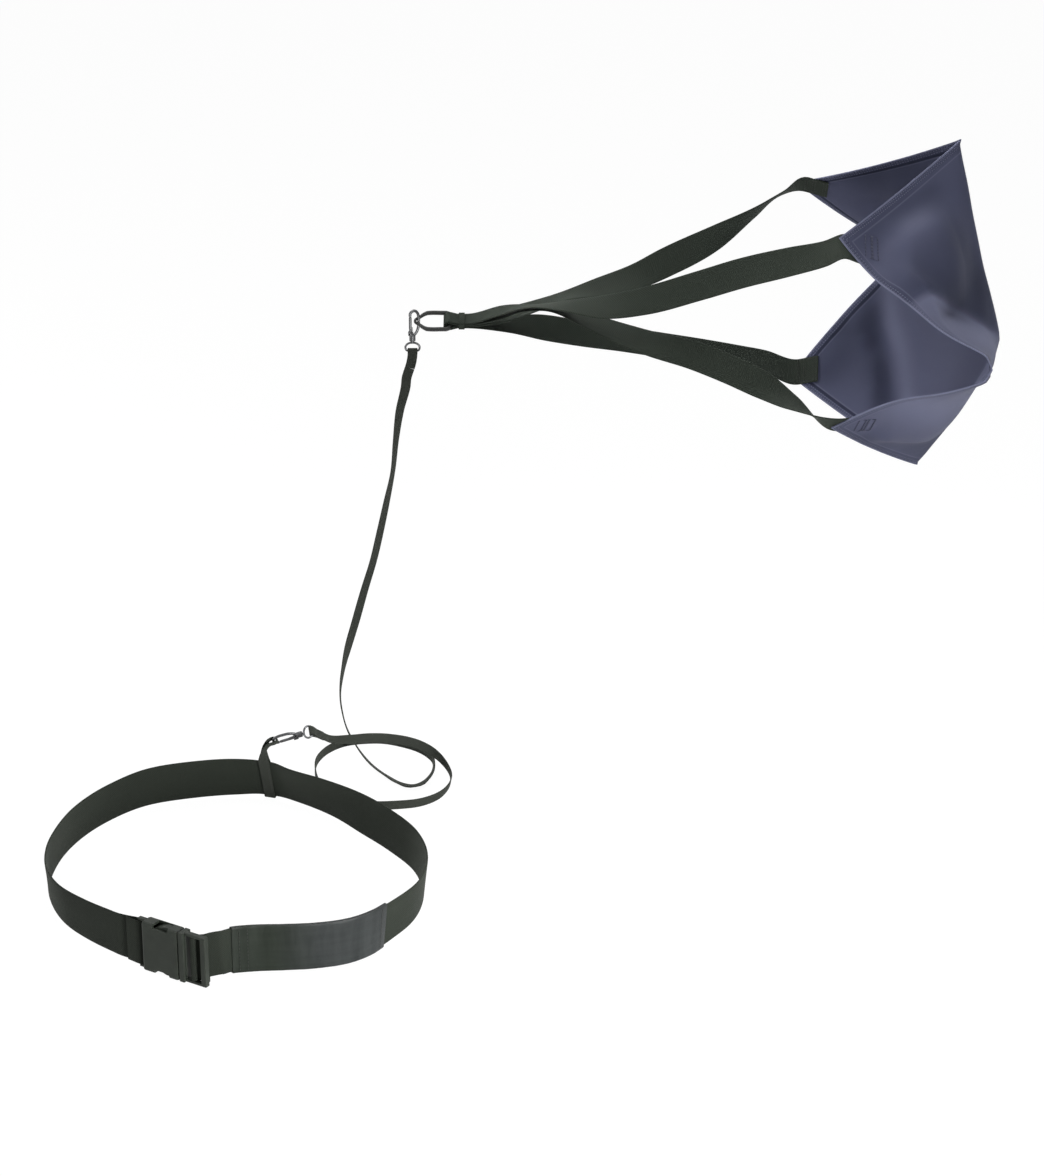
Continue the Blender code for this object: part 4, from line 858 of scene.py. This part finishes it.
def buckle_point(x, y, z=0.0):
    return BUCKLE @ Vector((x, y, z))


BELT_JOINT = len(belt_fold()) + len(BELT_ROUTE)
SLEEVE_START = BELT_JOINT - SLEEVE_ROWS_BEFORE
SLEEVE_END = BELT_JOINT + len(FRONT_ROUTE) - 1


def belt_line(spacing):
    """The whole belt from fold to tail as (row number, centre, half-width vector, heading)."""
    rows = [(*buckle_point(*row), 0.0) for row in belt_fold()] + BELT_ROUTE + FRONT_ROUTE
    rows += [(*buckle_point(*row), 0.0) for row in belt_tail()]
    samples = spline(rows, spacing)
    centres = [Vector(sample[:3]) for sample in samples]
    line = []
    for sample, centre, heading in zip(samples, centres, tangents(centres)):
        inward = Vector((heading.y, -heading.x, 0)).normalized()
        half = HALF_BELT * (Z_AXIS + inward * sample[3] / BELT_WIDTH)
        line.append((sample[-1], centre, half, heading))
    return line


def make_belt():
    """The belt's main webbing, and its front length."""
    line = belt_line(BELT_STEP)
    front = [item for item in line if item[0] >= BELT_JOINT]
    row, centre, half, heading = front[0]
    front[0] = (row, centre + heading * GAP * 2, half, heading)
    belt, adjuster = [
        webbing(name, *zip(*(item[1:3] for item in items)), BELT_THICKNESS, BELT_WEBBING)
        for name, items in (
            ("belt_webbing_woven", [item for item in line if item[0] <= BELT_JOINT]),
            ("belt_adjuster_woven", front),
        )
    ]
    ride(belt, "belt", "webbing", "belt_webbing")
    dress(adjuster, "webbing", "belt_adjuster_webbing")
    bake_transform(adjuster)


def sleeve_section(bulge):
    """The sleeve's outline, flat on both faces with folded upper and lower edges."""
    depth = BELT_THICKNESS / 2 + SLEEVE_SLACK + SLEEVE_WALL / 2
    height = HALF_BELT + SLEEVE_SLACK + SLEEVE_WALL
    levels = (-1.0, -0.97, -0.9, -0.6, -0.2, 0.2, 0.6, 0.9, 0.97, 1.0)
    outline = []
    for side in (-1, 1):
        for up in levels[::-side]:
            puffed = depth + (bulge * (1 - up * up) ** 0.5 if abs(up) < 0.95 else 0)
            outline.append((up * height, side * puffed * (0.75 if abs(up) == 1.0 else 1.0)))
    return outline


def make_sleeve():
    """The satin tube: faces that pucker a little between the end seams, and turned-in ends."""
    covered = [item for item in belt_line(SLEEVE_STEP) if SLEEVE_START <= item[0] <= SLEEVE_END]
    build = bmesh.new()
    uv = build.loops.layers.uv.new("UVMap")
    outer, inner = [], []
    last = len(covered) - 1
    for index, (_, centre, half, heading) in enumerate(covered):
        side = heading.cross(half).normalized()
        share = index / last
        ease = min(1.0, share / 0.06, (1 - share) / 0.06)
        bulge = ease * (0.0005 + 0.0005 * noise.noise(Vector((share * 11.0, 0.0, 0.0))))
        for rings, wall in ((outer, SLEEVE_WALL / 2), (inner, -SLEEVE_WALL / 2)):
            ring = []
            for up, across in sleeve_section(bulge):
                spot = Vector((share * 26.0, up * 60.0, 3.0 if across > 0 else 8.0))
                away = across + math.copysign(wall + ease * 0.0003 * noise.noise(spot), across)
                rise = up + math.copysign(wall if abs(up) > HALF_BELT else 0.0, up)
                ring.append((build.verts.new(centre + side * away + half / HALF_BELT * rise), up))
            rings.append(ring)
    reach = reaches([item[1] for item in covered])
    skin(build, uv, outer, reach)
    skin(build, uv, inner, reach, inside_out=True)
    for end in (0, last):
        size = len(outer[end])
        for index in range(size):
            beside = (index + 1) % size
            corners = outer[end][index], outer[end][beside], inner[end][beside], inner[end][index]
            build.faces.new([corner[0] for corner in corners])
    bmesh.ops.recalc_face_normals(build, faces=build.faces)
    ride(new_piece("belt_sleeve_satin", build, SLEEVE_SATIN), "belt", "satin", "belt_sleeve")
    seams = bmesh.new()
    depth = BELT_THICKNESS / 2 + SLEEVE_SLACK + SLEEVE_WALL + 0.0009
    for _, centre, half, heading in (covered[3], covered[last - 3], covered[last - 6]):
        side = heading.cross(half).normalized()
        for out in (-side, side):
            points = [centre + out * depth + half * up for up in (-0.98, -0.5, 0.0, 0.5, 0.98)]
            stitch_run(seams, points, out)
    ride(new_piece("sleeve_seams", seams, BLACK_THREAD), "belt", "satin")


def keeper_rows(centre, up, outward, heading, edge):
    """The keeper loop: down round the belt, drawn together above it, and up over the hook's bow."""
    off = outward * (BELT_THICKNESS / 2 + KEEPER_SLACK + KEEPER_THICKNESS / 2)
    turn = LOWER_HOOK.to_3x3()
    pull = turn @ Z_AXIS
    side = towards(turn @ Y_AXIS, outward)
    band = heading * (KEEPER_WIDTH / 2)
    bunched = towards(turn @ X_AXIS * (KEEPER_BUNCHED / 2), heading)
    bow = LOWER_HOOK @ Vector((BOW_X, 0, HOOK_HEIGHT - HOOK_WIRE))
    deep = HOOK_WIRE + KEEPER_SLACK * 3.5 + KEEPER_THICKNESS / 2
    wide = HOOK_WIRE + KEEPER_SLACK * 2.2 + KEEPER_THICKNESS / 2
    shoulder = centre + up * (edge + 0.0040)
    neck = bow + pull * 0.0095 - Z_AXIS * 0.0048
    neck_width = (bunched.normalized() + heading).normalized() * (KEEPER_BUNCHED / 2)
    rise = [(centre + up * edge * level, off, band) for level in (-0.80, -0.3, 0.2, 0.70, 0.98)]
    rise.append((shoulder, off, band * 0.85))
    rise.append((neck, side * KEEPER_THICKNESS * 1.4, neck_width))
    rise.append((bow + pull * 0.0035, side * wide * 0.9, bunched))
    rows = []
    for angle in range(-60, 61, 30):
        sink = edge + KEEPER_SLACK * 0.5 + KEEPER_THICKNESS / 2 * math.cos(math.radians(angle))
        rows.append((centre - up * sink + off * math.sin(math.radians(angle)) * 1.15, band))
    rows += [(spot + away, width) for spot, away, width in rise]
    over_bow = range(0, 181, 36)
    rows += [(bow + turned(side * wide, -pull * deep, angle), bunched) for angle in over_bow]
    rows += [(spot - away, width) for spot, away, width in reversed(rise)]
    return [(*point, *width) for point, width in rows]


def make_keeper():
    """The keeper loop where the belt passes it, with two rows of stitches on each face."""
    at = len(belt_fold()) + KEEPER_ROW
    centre, half, heading = next(item[1:] for item in belt_line(0.010) if item[0] == at)
    up = half.normalized()
    outward = up.cross(heading).normalized()
    rows = along_rows(keeper_rows(centre, up, outward, heading, half.length), KEEPER_STEP, True)
    keeper = webbing("keeper_loop_woven", *rows, KEEPER_THICKNESS, TETHER_WEBBING, True)
    ride(keeper, "belt", "webbing", "keeper_loop")
    stitches = bmesh.new()
    off = BELT_THICKNESS / 2 + KEEPER_SLACK + KEEPER_THICKNESS + THREAD_LIFT
    for out in (-outward, outward):
        for across in (-0.0040, 0.0040):
            beside = centre + out * off + heading * across
            points = [beside + up * HALF_BELT * level for level in (-0.72, -0.3, 0.2, 0.66)]
            stitch_run(stitches, points, out)
    ride(new_piece("keeper_stitches", stitches, BLACK_THREAD), "belt", "webbing")


# Tether


def end_loop_rows(eye_frame, leave, drift):
    """Rows of the tether's sewn end round an eye, and where its free webbing starts."""
    bar = Vector((0, 0, -EYE_DEPTH))
    wrap = EYE_WIRE + GAP * 1.5 + TETHER_THICKNESS / 2
    pinch = TETHER_THICKNESS / 2 + GAP / 2
    heading = leave.normalized()
    side = heading.cross(X_AXIS)
    steps = (SEWN_END, pinch), (0.013, pinch), (0.008, pinch + 0.0001), (0.0035, wrap * 0.80)
    legs = [
        (bar + heading * away + X_AXIS * drift * (away / SEWN_END) ** 2, side * out)
        for away, out in steps
    ]
    points = [spot + out for spot, out in legs]
    angles = [80 + 200 * index / 6 for index in range(7)]
    points += [bar + turned(heading * wrap, side * wrap, angle) for angle in angles]
    points += [spot - out for spot, out in reversed(legs)]
    turn = eye_frame.to_3x3()
    half = turn @ X_AXIS * (TETHER_WIDTH / 2)
    onward = (heading + X_AXIS * 2 * drift / SEWN_END).normalized()
    start = bar + heading * SEWN_END + X_AXIS * drift + onward * GAP * 2
    rows = [(*(eye_frame @ point), *half) for point in points]
    return rows, eye_frame @ start, turn @ onward, half, turn @ side


def make_tether():
    """The tether's two sewn ends, and the free webbing between them."""
    ends = (
        ("tether_lower_loop", end_loop_rows(LOWER_EYE, Vector((0, -2.0, -1)), 0.0)),
        ("tether_upper_loop", end_loop_rows(UPPER_EYE, Vector((0, 0, -1)), -0.0030)),
    )
    for name, (rows, start, heading, half, side) in ends:
        line = along_rows(rows, SEWN_END_STEP)
        loop = webbing(name + "_woven", *line, TETHER_THICKNESS, TETHER_WEBBING)
        dress(loop, "webbing", name)
        tack = bmesh.new()
        top = TETHER_THICKNESS + GAP / 2 + THREAD_LIFT
        for out in (-side, side):
            for away in (0.0030, 0.0058, 0.0086):
                middle = start - heading * away + out * top
                stitch_run(tack, [middle - half * 0.8, middle + half * 0.8], out, 0.0018, 0.0006)
        stitches = dress(new_piece(name + "_stitches", tack, BLACK_THREAD), "webbing")
        for thing in (loop, stitches):
            if name == "tether_lower_loop":
                # The sewn end twists from the turned eye to the tether, which stays.
                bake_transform(thing)
            else:
                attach(thing, "belt")
    low_start, low_heading, low_half = ends[0][1][1:4]
    top_start, top_heading, top_half = ends[1][1][1:4]
    ahead = low_start + low_heading * 0.008
    points, headings = route_points(TETHER_ROUTE, ahead, top_start)
    halves = [
        rolled(heading, row[3]) * (TETHER_WIDTH / 2) for row, heading in zip(TETHER_ROUTE, headings)
    ]
    rows = directed_rows(
        [low_start, ahead, *points, top_start + top_heading * 0.010, top_start],
        [low_half, low_half, *halves, top_half, top_half],
    )
    centres, halves = along_rows(rows, TETHER_STEP)
    tether = webbing("tether_woven", centres, halves, TETHER_THICKNESS, TETHER_WEBBING)
    ride(tether, "belt", "webbing", "tether_strap")


# Chute


def corner_axes(name):
    """At a strapped corner: the diagonal, the direction across it, and the sheet's inner normal."""
    corner = CORNER[name]
    near = 0.15
    first, second = sheet_point(name, near, 0.0), sheet_point(name, 0.0, near)
    diagonal = (sheet_point(name, near, near) - corner).normalized()
    normal = (first - corner).cross(second - corner).normalized()
    return diagonal, square_to(first - second, diagonal), towards(normal, MOUTH_MIDDLE - corner)


def overlap_share(name):
    """The sewn length of a strap, as a share of the way from its corner to the sheet's middle."""
    return STRAP_OVERLAP / (CANOPY_MIDDLE - CORNER[name]).length


def leg_end(name):
    """Points and width vectors of a strap's end on the inner face of its corner."""
    diagonal, width, normal = corner_axes(name)
    rise = CANOPY_THICKNESS / 2 + STRAP_SEAT + STRAP_THICKNESS / 2
    patch = [sheet_point(name, i / 50, j / 50) for i in range(17) for j in range(17)]
    rows = []
    for share in (0.03, 0.075, overlap_share(name)):
        point = sheet_point(name, share + STRAP_SHIFT[name], share - STRAP_SHIFT[name])
        beneath = [
            offset.dot(normal) for offset in (spot - point for spot in patch)
            if abs(offset.dot(diagonal)) < 0.007
            and abs(offset.dot(width)) < STRAP_WIDTH / 2 + 0.001
        ]
        rows.append((point + normal * (rise + max(beneath)), width * (STRAP_WIDTH / 2)))
    return rows


def leg_rows(name, level):
    """Points and width vectors of a strap's leg, from the ring to its corner."""
    start = RING_END + RING_NORMAL * level
    rows = [(start + X_AXIS * step, BUNCHED_HALF) for step in (0.0085, TACK_PLACE, 0.0185)]
    ends = leg_end(name)
    points, headings = route_points(LEG_ROUTE[name], rows[-1][0], ends[0][0])
    for index, (row, point, heading) in enumerate(zip(LEG_ROUTE[name], points, headings)):
        share = min(1.0, (index + 1) / 2)
        half = STRAP_BUNCHED / 2 + (STRAP_WIDTH - STRAP_BUNCHED) / 2 * share
        rows.append((point, rolled(heading, row[3]) * half))
    return rows + ends


def make_straps():
    """The two long straps, one inside the other round the ring, and the sewn band behind it."""
    for name, top, bottom, layer in (
        ("chute_strap_outer", "upper_near", "lower_far", 1),
        ("chute_strap_inner", "lower_near", "upper_far", 0),
    ):
        level = (layer + 0.5) * STRAP_PITCH
        wrap = RING_BAR + STRAP_GAP + STRAP_THICKNESS / 2 + layer * STRAP_PITCH
        rows = leg_rows(top, level)[::-1]
        for angle in range(70, 291, 20):
            rows.append((RING_END + turned(X_AXIS * wrap, RING_NORMAL * wrap, angle), BUNCHED_HALF))
        rows += leg_rows(bottom, -level)
        line = along_rows(directed_rows(*zip(*rows)), STRAP_STEP)
        strap = webbing(name + "_woven", *line, STRAP_THICKNESS, STRAP_WEBBING)
        ride(strap, "chute", "webbing", name)
    sides = (
        (RING_CROSS, STRAP_BUNCHED / 2 + STRAP_GAP * 2 + TACK_THICKNESS / 2),
        (RING_NORMAL, 2 * STRAP_PITCH + STRAP_GAP + TACK_THICKNESS / 2),
    )
    centres = []
    for corner in range(24):
        angle = math.tau * corner / 24
        centre = RING_END + X_AXIS * TACK_PLACE
        for (axis, reach), part in zip(sides, (math.cos(angle), math.sin(angle))):
            centre = centre + axis * math.copysign(abs(part) ** 0.45, part) * reach
        centres.append(centre)
    halves = [X_AXIS * TACK_HALF] * len(centres)
    tack = webbing("strap_tack_woven", centres, halves, TACK_THICKNESS, STRAP_WEBBING, True)
    ride(tack, "chute", "webbing", "strap_tack")


def corner_stitches():
    """Lock stitch at each sewn strap end: rows across it inside, and a box on the outer face."""
    inner, outer = bmesh.new(), bmesh.new()
    for name in CORNER:
        _, width, normal = corner_axes(name)
        ends = leg_end(name)
        start, end = ends[0][0], ends[-1][0]
        reach = (end - start).length
        axis = (end - start).normalized()
        out = towards(axis.cross(width).normalized(), normal)
        lift = out * (STRAP_THICKNESS / 2 + THREAD_LIFT)
        side = width * INNER_BOX
        halfway = reach * 0.55
        for away in (0.0022, 0.0050, halfway, halfway + 0.0028, reach - 0.003, reach - 0.001):
            middle = end - axis * min(away, reach) + lift
            stitch_run(inner, [middle - side, middle + side], out)
        for edge in (lift - side, lift + side):
            stitch_run(inner, [start + edge, end + edge], out)

        def on_sheet(away, across):
            """A place on the outer face: share along the diagonal, and metres to one side of it."""
            aside = across / HALF_SHEET * 0.72
            spot = sheet_point(name, max(0.0, away + aside), max(0.0, away - aside))
            return spot - normal * (CANOPY_THICKNESS / 2 + 0.0005)

        overlap = overlap_share(name)
        for away in (0.105, 0.135, overlap - 0.015, overlap + 0.012):
            reach = min(OUTER_BOX, (away - 0.045) * HALF_SHEET)
            track = [on_sheet(away, reach * step / 6) for step in range(-6, 7)]
            stitch_run(outer, track, -normal, 0.0036, 0.0006, 0.00065)
        for across in (-OUTER_BOX, OUTER_BOX):
            track = [on_sheet(0.118 + (overlap - 0.106) * step / 6, across) for step in range(7)]
            stitch_run(outer, track, -normal, 0.0030, 0.0010, 0.00030)
    ride(new_piece("strap_end_stitches", inner, BLACK_THREAD), "chute", "webbing")
    ride(new_piece("corner_box_stitches", outer, NAVY_THREAD), "chute", "navy_sheet")


def creased_point(name, u, v):
    """A point of the dressed sheet, where the upper near quarter breaks over its crease."""
    spot = sheet_point(name, u, v)
    reach = (u - CREASE_START) / (1 - CREASE_START)
    if name != "upper_near" or reach <= 0:
        return spot
    middle = sheet_point(name, CREASE_START, 0.0).lerp(CANOPY_MIDDLE, reach)
    if v < reach:
        facet = sheet_point(name, u, 0.0).lerp(middle, v / reach)
    else:
        facet = middle.lerp(sheet_point(name, u, 1.0), (v - reach) / max(1 - reach, 1e-6))
    return spot.lerp(facet, 0.85 * min(1.0, reach / 0.4))


def hem_shares(steps):
    """Shares from the hem to the middle, with lines on both sides of the hem's inner fold."""
    hem = HEM_WIDTH / HALF_SHEET
    start = hem + 0.003
    border = [0.0, hem * 0.5, hem - 0.003, start]
    return border + [start + (1 - start) * (row + 1) / steps for row in range(steps)]


def eased(share):
    """A share that starts and ends gently."""
    return share * share * (3 - 2 * share)


def bell(offset, reach):
    """A bell curve: 1 at no offset, and little beyond the reach."""
    return math.exp(-((offset / reach) ** 2))


def fold_sum(rows, place):
    """Adds up soft-sided lines at a place on the flat cloth; each fades towards its ends."""
    total = 0.0
    for rise, left, right, points in rows:
        best, share, width = 1.0, 0.5, left
        for index, (start, end) in enumerate(zip(points, points[1:])):
            step = end - start
            part = min(1.0, max(0.0, (place - start).dot(step) / step.length_squared))
            away = place - start - step * part
            if away.length < best:
                best, share = away.length, (index + part) / (len(points) - 1)
                width = left if step.x * away.y - step.y * away.x > 0 else right
        total += rise * bell(best, width) * eased(min(1.0, 4 * share, 4 - 4 * share))
    return total


def fold_height(place):
    """How far the sheet stands out at a place on the flat cloth."""
    crumple = noise.noise(Vector((place.x * CRUMPLE_RATE, place.y * CRUMPLE_RATE, 4.0)))
    height = fold_sum(SHEET_FOLDS, place) + CRUMPLE_HEIGHT * crumple
    inset = HALF_SHEET - max(abs(place.x), abs(place.y))
    corner = math.hypot(HALF_SHEET - abs(place.x), HALF_SHEET - abs(place.y))
    free = eased(min(1.0, max(0.0, (corner - 0.052) / 0.030)))
    height *= min(1.0, 0.15 + max(0.0, inset - 0.004) / 0.030) * free
    if place.x > 0:
        blunt = bell(HALF_SHEET - place.x, 0.060) * bell(max(0.0, abs(place.y) - 0.012), 0.050)
        height += BLUNT_TIP * blunt * (1 - bell(place.y, 0.0065))
    return height


def hem_pull(place):
    """How far the near hem and the cloth beside it are drawn up or down."""
    pull = sum(rise * bell(place.y - middle, reach) for rise, middle, reach in HEM_PULLS)
    return bell(HALF_SHEET - max(0.0, place.x), 0.060) * pull


def make_canopy():
    """The sheet as one curved cloth on a square grid, soft along its folds, thicker at its hems."""
    grid = {}
    shares = hem_shares(SHEET_ROWS)
    last = len(shares) - 1
    for name, near, up in (
        ("upper_far", -1, 1), ("upper_near", 1, 1), ("lower_near", 1, -1), ("lower_far", -1, -1)
    ):
        upright = CORNER_EDGES[name][0] in ("near", "far")
        for i, a in enumerate(shares):
            for j, b in enumerate(shares):
                u, v = (b, a) if upright else (a, b)
                grid[near * (last - i), up * (last - j)] = creased_point(name, u, v)
    flat = {
        index: math.copysign((1 - shares[last - abs(index)]) * HALF_SHEET, index)
        for index in range(-last, last + 1)
    }
    cloth = {(i, j): Vector((flat[i], flat[j])) for i, j in grid}

    def outward(i, j):
        """The sheet's outer normal at a row and column."""
        along = grid[min(i + 1, last), j] - grid[max(i - 1, -last), j]
        rise = grid[i, min(j + 1, last)] - grid[i, max(j - 1, -last)]
        return towards(along.cross(rise).normalized(), grid[i, j] - MOUTH_MIDDLE)

    # Eases the lines where the quarters meet, and the rest a little.
    for _ in range(3):
        grid.update({
            (i, j): spot.lerp(
                sum((grid[i + 1, j], grid[i - 1, j], grid[i, j + 1], grid[i, j - 1]), Vector()) / 4,
                0.5 if min(abs(i), abs(j)) < 3 else 0.25,
            )
            for (i, j), spot in grid.items() if abs(i) < last and abs(j) < last
        })
    # Raises the folds, and draws the near hem.
    grid.update({
        at: spot + outward(*at) * fold_height(cloth[at]) + Z_AXIS * hem_pull(cloth[at])
        for at, spot in grid.items()
    })
    build = bmesh.new()
    uv = build.loops.layers.uv.new("UVMap")
    painted_shading = build.verts.layers.float.new("painted_shading")
    # Two faces, the inner one lower at the hems, where the cloth is folded over.
    verts = {}
    normals = {at: outward(*at) for at in grid}
    for side in (1, -1):
        for at, spot in grid.items():
            hem = HALF_SHEET - max(abs(cloth[at].x), abs(cloth[at].y)) <= HEM_WIDTH
            thick = CANOPY_THICKNESS / 2 * (2.2 if side < 0 and hem else 1)
            verts[side, at] = build.verts.new(spot + normals[at] * thick * side)
            # Each vertex keeps its depth of painted shade or painted highlight for the material.
            verts[side, at][painted_shading] = fold_sum(PAINTED_SHEET_SHADING, cloth[at])
    # The inner face's UVs lie a metre aside, by which the material tells it from the outer one.
    for side in (1, -1):
        shift = Vector((1.0 if side < 0 else 0.0, 0.0))
        for i in range(-last, last):
            for j in range(-last, last):
                corners = [(i, j), (i + 1, j), (i + 1, j + 1), (i, j + 1)]
                uv_face(build, uv, [(verts[side, at], cloth[at] + shift) for at in corners[::side]])
    rim = [(i, -last) for i in range(-last, last)] + [(last, j) for j in range(-last, last)]
    rim += [(-i, -j) for i, j in rim]
    for here, there in zip(rim, rim[1:] + rim[:1]):
        corners = ((1, here), (-1, here), (-1, there), (1, there))
        uv_face(build, uv, [(verts[side, at], cloth[at]) for side, at in corners])
    bmesh.ops.recalc_face_normals(build, faces=build.faces)
    canopy = new_piece("canopy_cloth", build, COATED_SHEET, 50)
    ride(canopy, "chute", "navy_sheet", "chute_canopy")


# Rigid solids


def finish_solids():
    """Gives the frame's rigid solids their materials."""
    for name, node in NODES.items():
        slot, material = "gunmetal", DARK_PLATING
        if name.startswith("buckle"):
            slot, material = "black_plastic", MOULDED_PLASTIC
        elif name == "strap_ring":
            slot, material = "black_plastic", RING_PLASTIC
        node.data.materials.clear()
        node.data.materials.append(material)


def make_gate_springs():
    """A copy of each gate's leaf spring."""
    for gate, body, start, end in (
        ("lower_gate", "belt", (0.0463, 0.1944, 0.0537), (0.0432, 0.1947, 0.0523)),
        ("upper_gate", "upper_hook", (0.1743, 0.2402, 0.4800), (0.1741, 0.2401, 0.4832)),
    ):
        name = gate + "_spring"
        mesh = NODES[name].data.copy()
        mesh.transform(NODES[name].matrix_world)
        leaf = dress(new_object(name + "_leaf", mesh), "gunmetal", name)
        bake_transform(leaf)


# Stage


def floor_material():
    """A pale floor that shows white, and keeps a part of its shading."""
    graph = Graph("pale_floor", (0.80, 0.80, 0.80), 0.9)
    graph.gloss(0.0)
    plain = graph.shader.outputs[0]
    glow = graph.node("Emission", {0: (1.0, 1.0, 1.0, 1.0), 1: 1.12}).outputs[0]
    part = graph.node("MixShader", {0: 0.86, 1: plain, 2: glow}).outputs[0]
    whole = graph.node("MixShader", {0: graph.white_rays(), 1: plain, 2: part}).outputs[0]
    graph.link(whole, graph.tree.nodes["Material Output"].inputs["Surface"])
    return graph.material


def make_stage():
    square = (-1, -1), (1, -1), (1, 1), (-1, 1)
    corners = [(x * FLOOR_REACH, y * FLOOR_REACH, FLOOR_LEVEL) for x, y in square]
    floor = bpy.data.meshes.new("floor")
    floor.from_pydata(corners, [], [(0, 1, 2, 3)])
    floor.materials.append(floor_material())
    new_object("floor", floor)
    world = bpy.data.worlds.new("studio")
    scene.world = world
    world.use_nodes = True
    nodes = Nodes(world.node_tree)
    background = nodes.tree.nodes["Background"]
    background.inputs[0].default_value = (1.0, 1.0, 1.0, 1.0)
    nodes.link(nodes.between(nodes.white_rays(), 0.0, 1.0, WORLD_LEVEL, 1.0), background.inputs[1])


def make_camera():
    camera = bpy.data.cameras.new("camera")
    camera.sensor_width = 36.0
    camera.lens = CAMERA_LENS
    camera.clip_end = 30.0
    view = new_object("camera", camera)
    view.location = CAMERA_PLACE
    view.rotation_euler = (math.radians(CAMERA_TILT), 0.0, 0.0)
    scene.camera = view


def aimed(lamp, place, target):
    """A lamp's object, placed and turned towards its target."""
    holder = new_object(lamp.name + "_lamp", lamp)
    holder.location = place
    holder.rotation_euler = (Vector(target) - Vector(place)).to_track_quat("-Z", "Y").to_euler()


def area_lamp(name, place, target, size, power, spread=180.0):
    """A round soft lamp."""
    lamp = bpy.data.lights.new(name, "AREA")
    lamp.shape = "DISK"
    lamp.size = size
    lamp.energy = power
    lamp.spread = math.radians(spread)
    aimed(lamp, place, target)


def spot_lamp(name, place, target, radius, power, cone):
    """A lamp with a soft-edged cone of light."""
    lamp = bpy.data.lights.new(name, "SPOT")
    lamp.shadow_soft_size = radius
    lamp.energy = power
    lamp.spot_size = math.radians(cone)
    lamp.spot_blend = 0.6
    aimed(lamp, place, target)


make_camera()
make_tether()
make_belt()
make_sleeve()
make_keeper()
make_straps()
make_canopy()
corner_stitches()
finish_solids()
make_gate_springs()
make_stage()
PART_MIDDLE = (0.4, 0.1, 0.35)
CHUTE_MIDDLE = (0.66, 0.2, 0.52)
area_lamp("side", (-2.6, 0.2, 1.3), PART_MIDDLE, 1.6, 37.0)
area_lamp("top", (0.4, 0.1, 3.2), PART_MIDDLE, 1.6, 16.0)
area_lamp("fill", (2.4, -2.2, 1.2), PART_MIDDLE, 1.8, 1.5)
spot_lamp("belt", (1.3, -1.6, 0.25), (0.02, 0.0, -0.02), 0.3, 235.0, 26.0)
area_lamp("back", (1.3, 1.5, 2.4), CHUTE_MIDDLE, 0.9, 1.5, 40.0)
area_lamp("far_back", (-0.6, 1.6, 2.4), CHUTE_MIDDLE, 0.9, 2.0, 40.0)
area_lamp("front", (-0.6, -0.9, 2.6), CHUTE_MIDDLE, 0.9, 0.7, 40.0)
area_lamp("low", (0.9, -1.7, 0.15), CHUTE_MIDDLE, 0.8, 1.8, 40.0)
scene.view_settings.view_transform = "Standard"
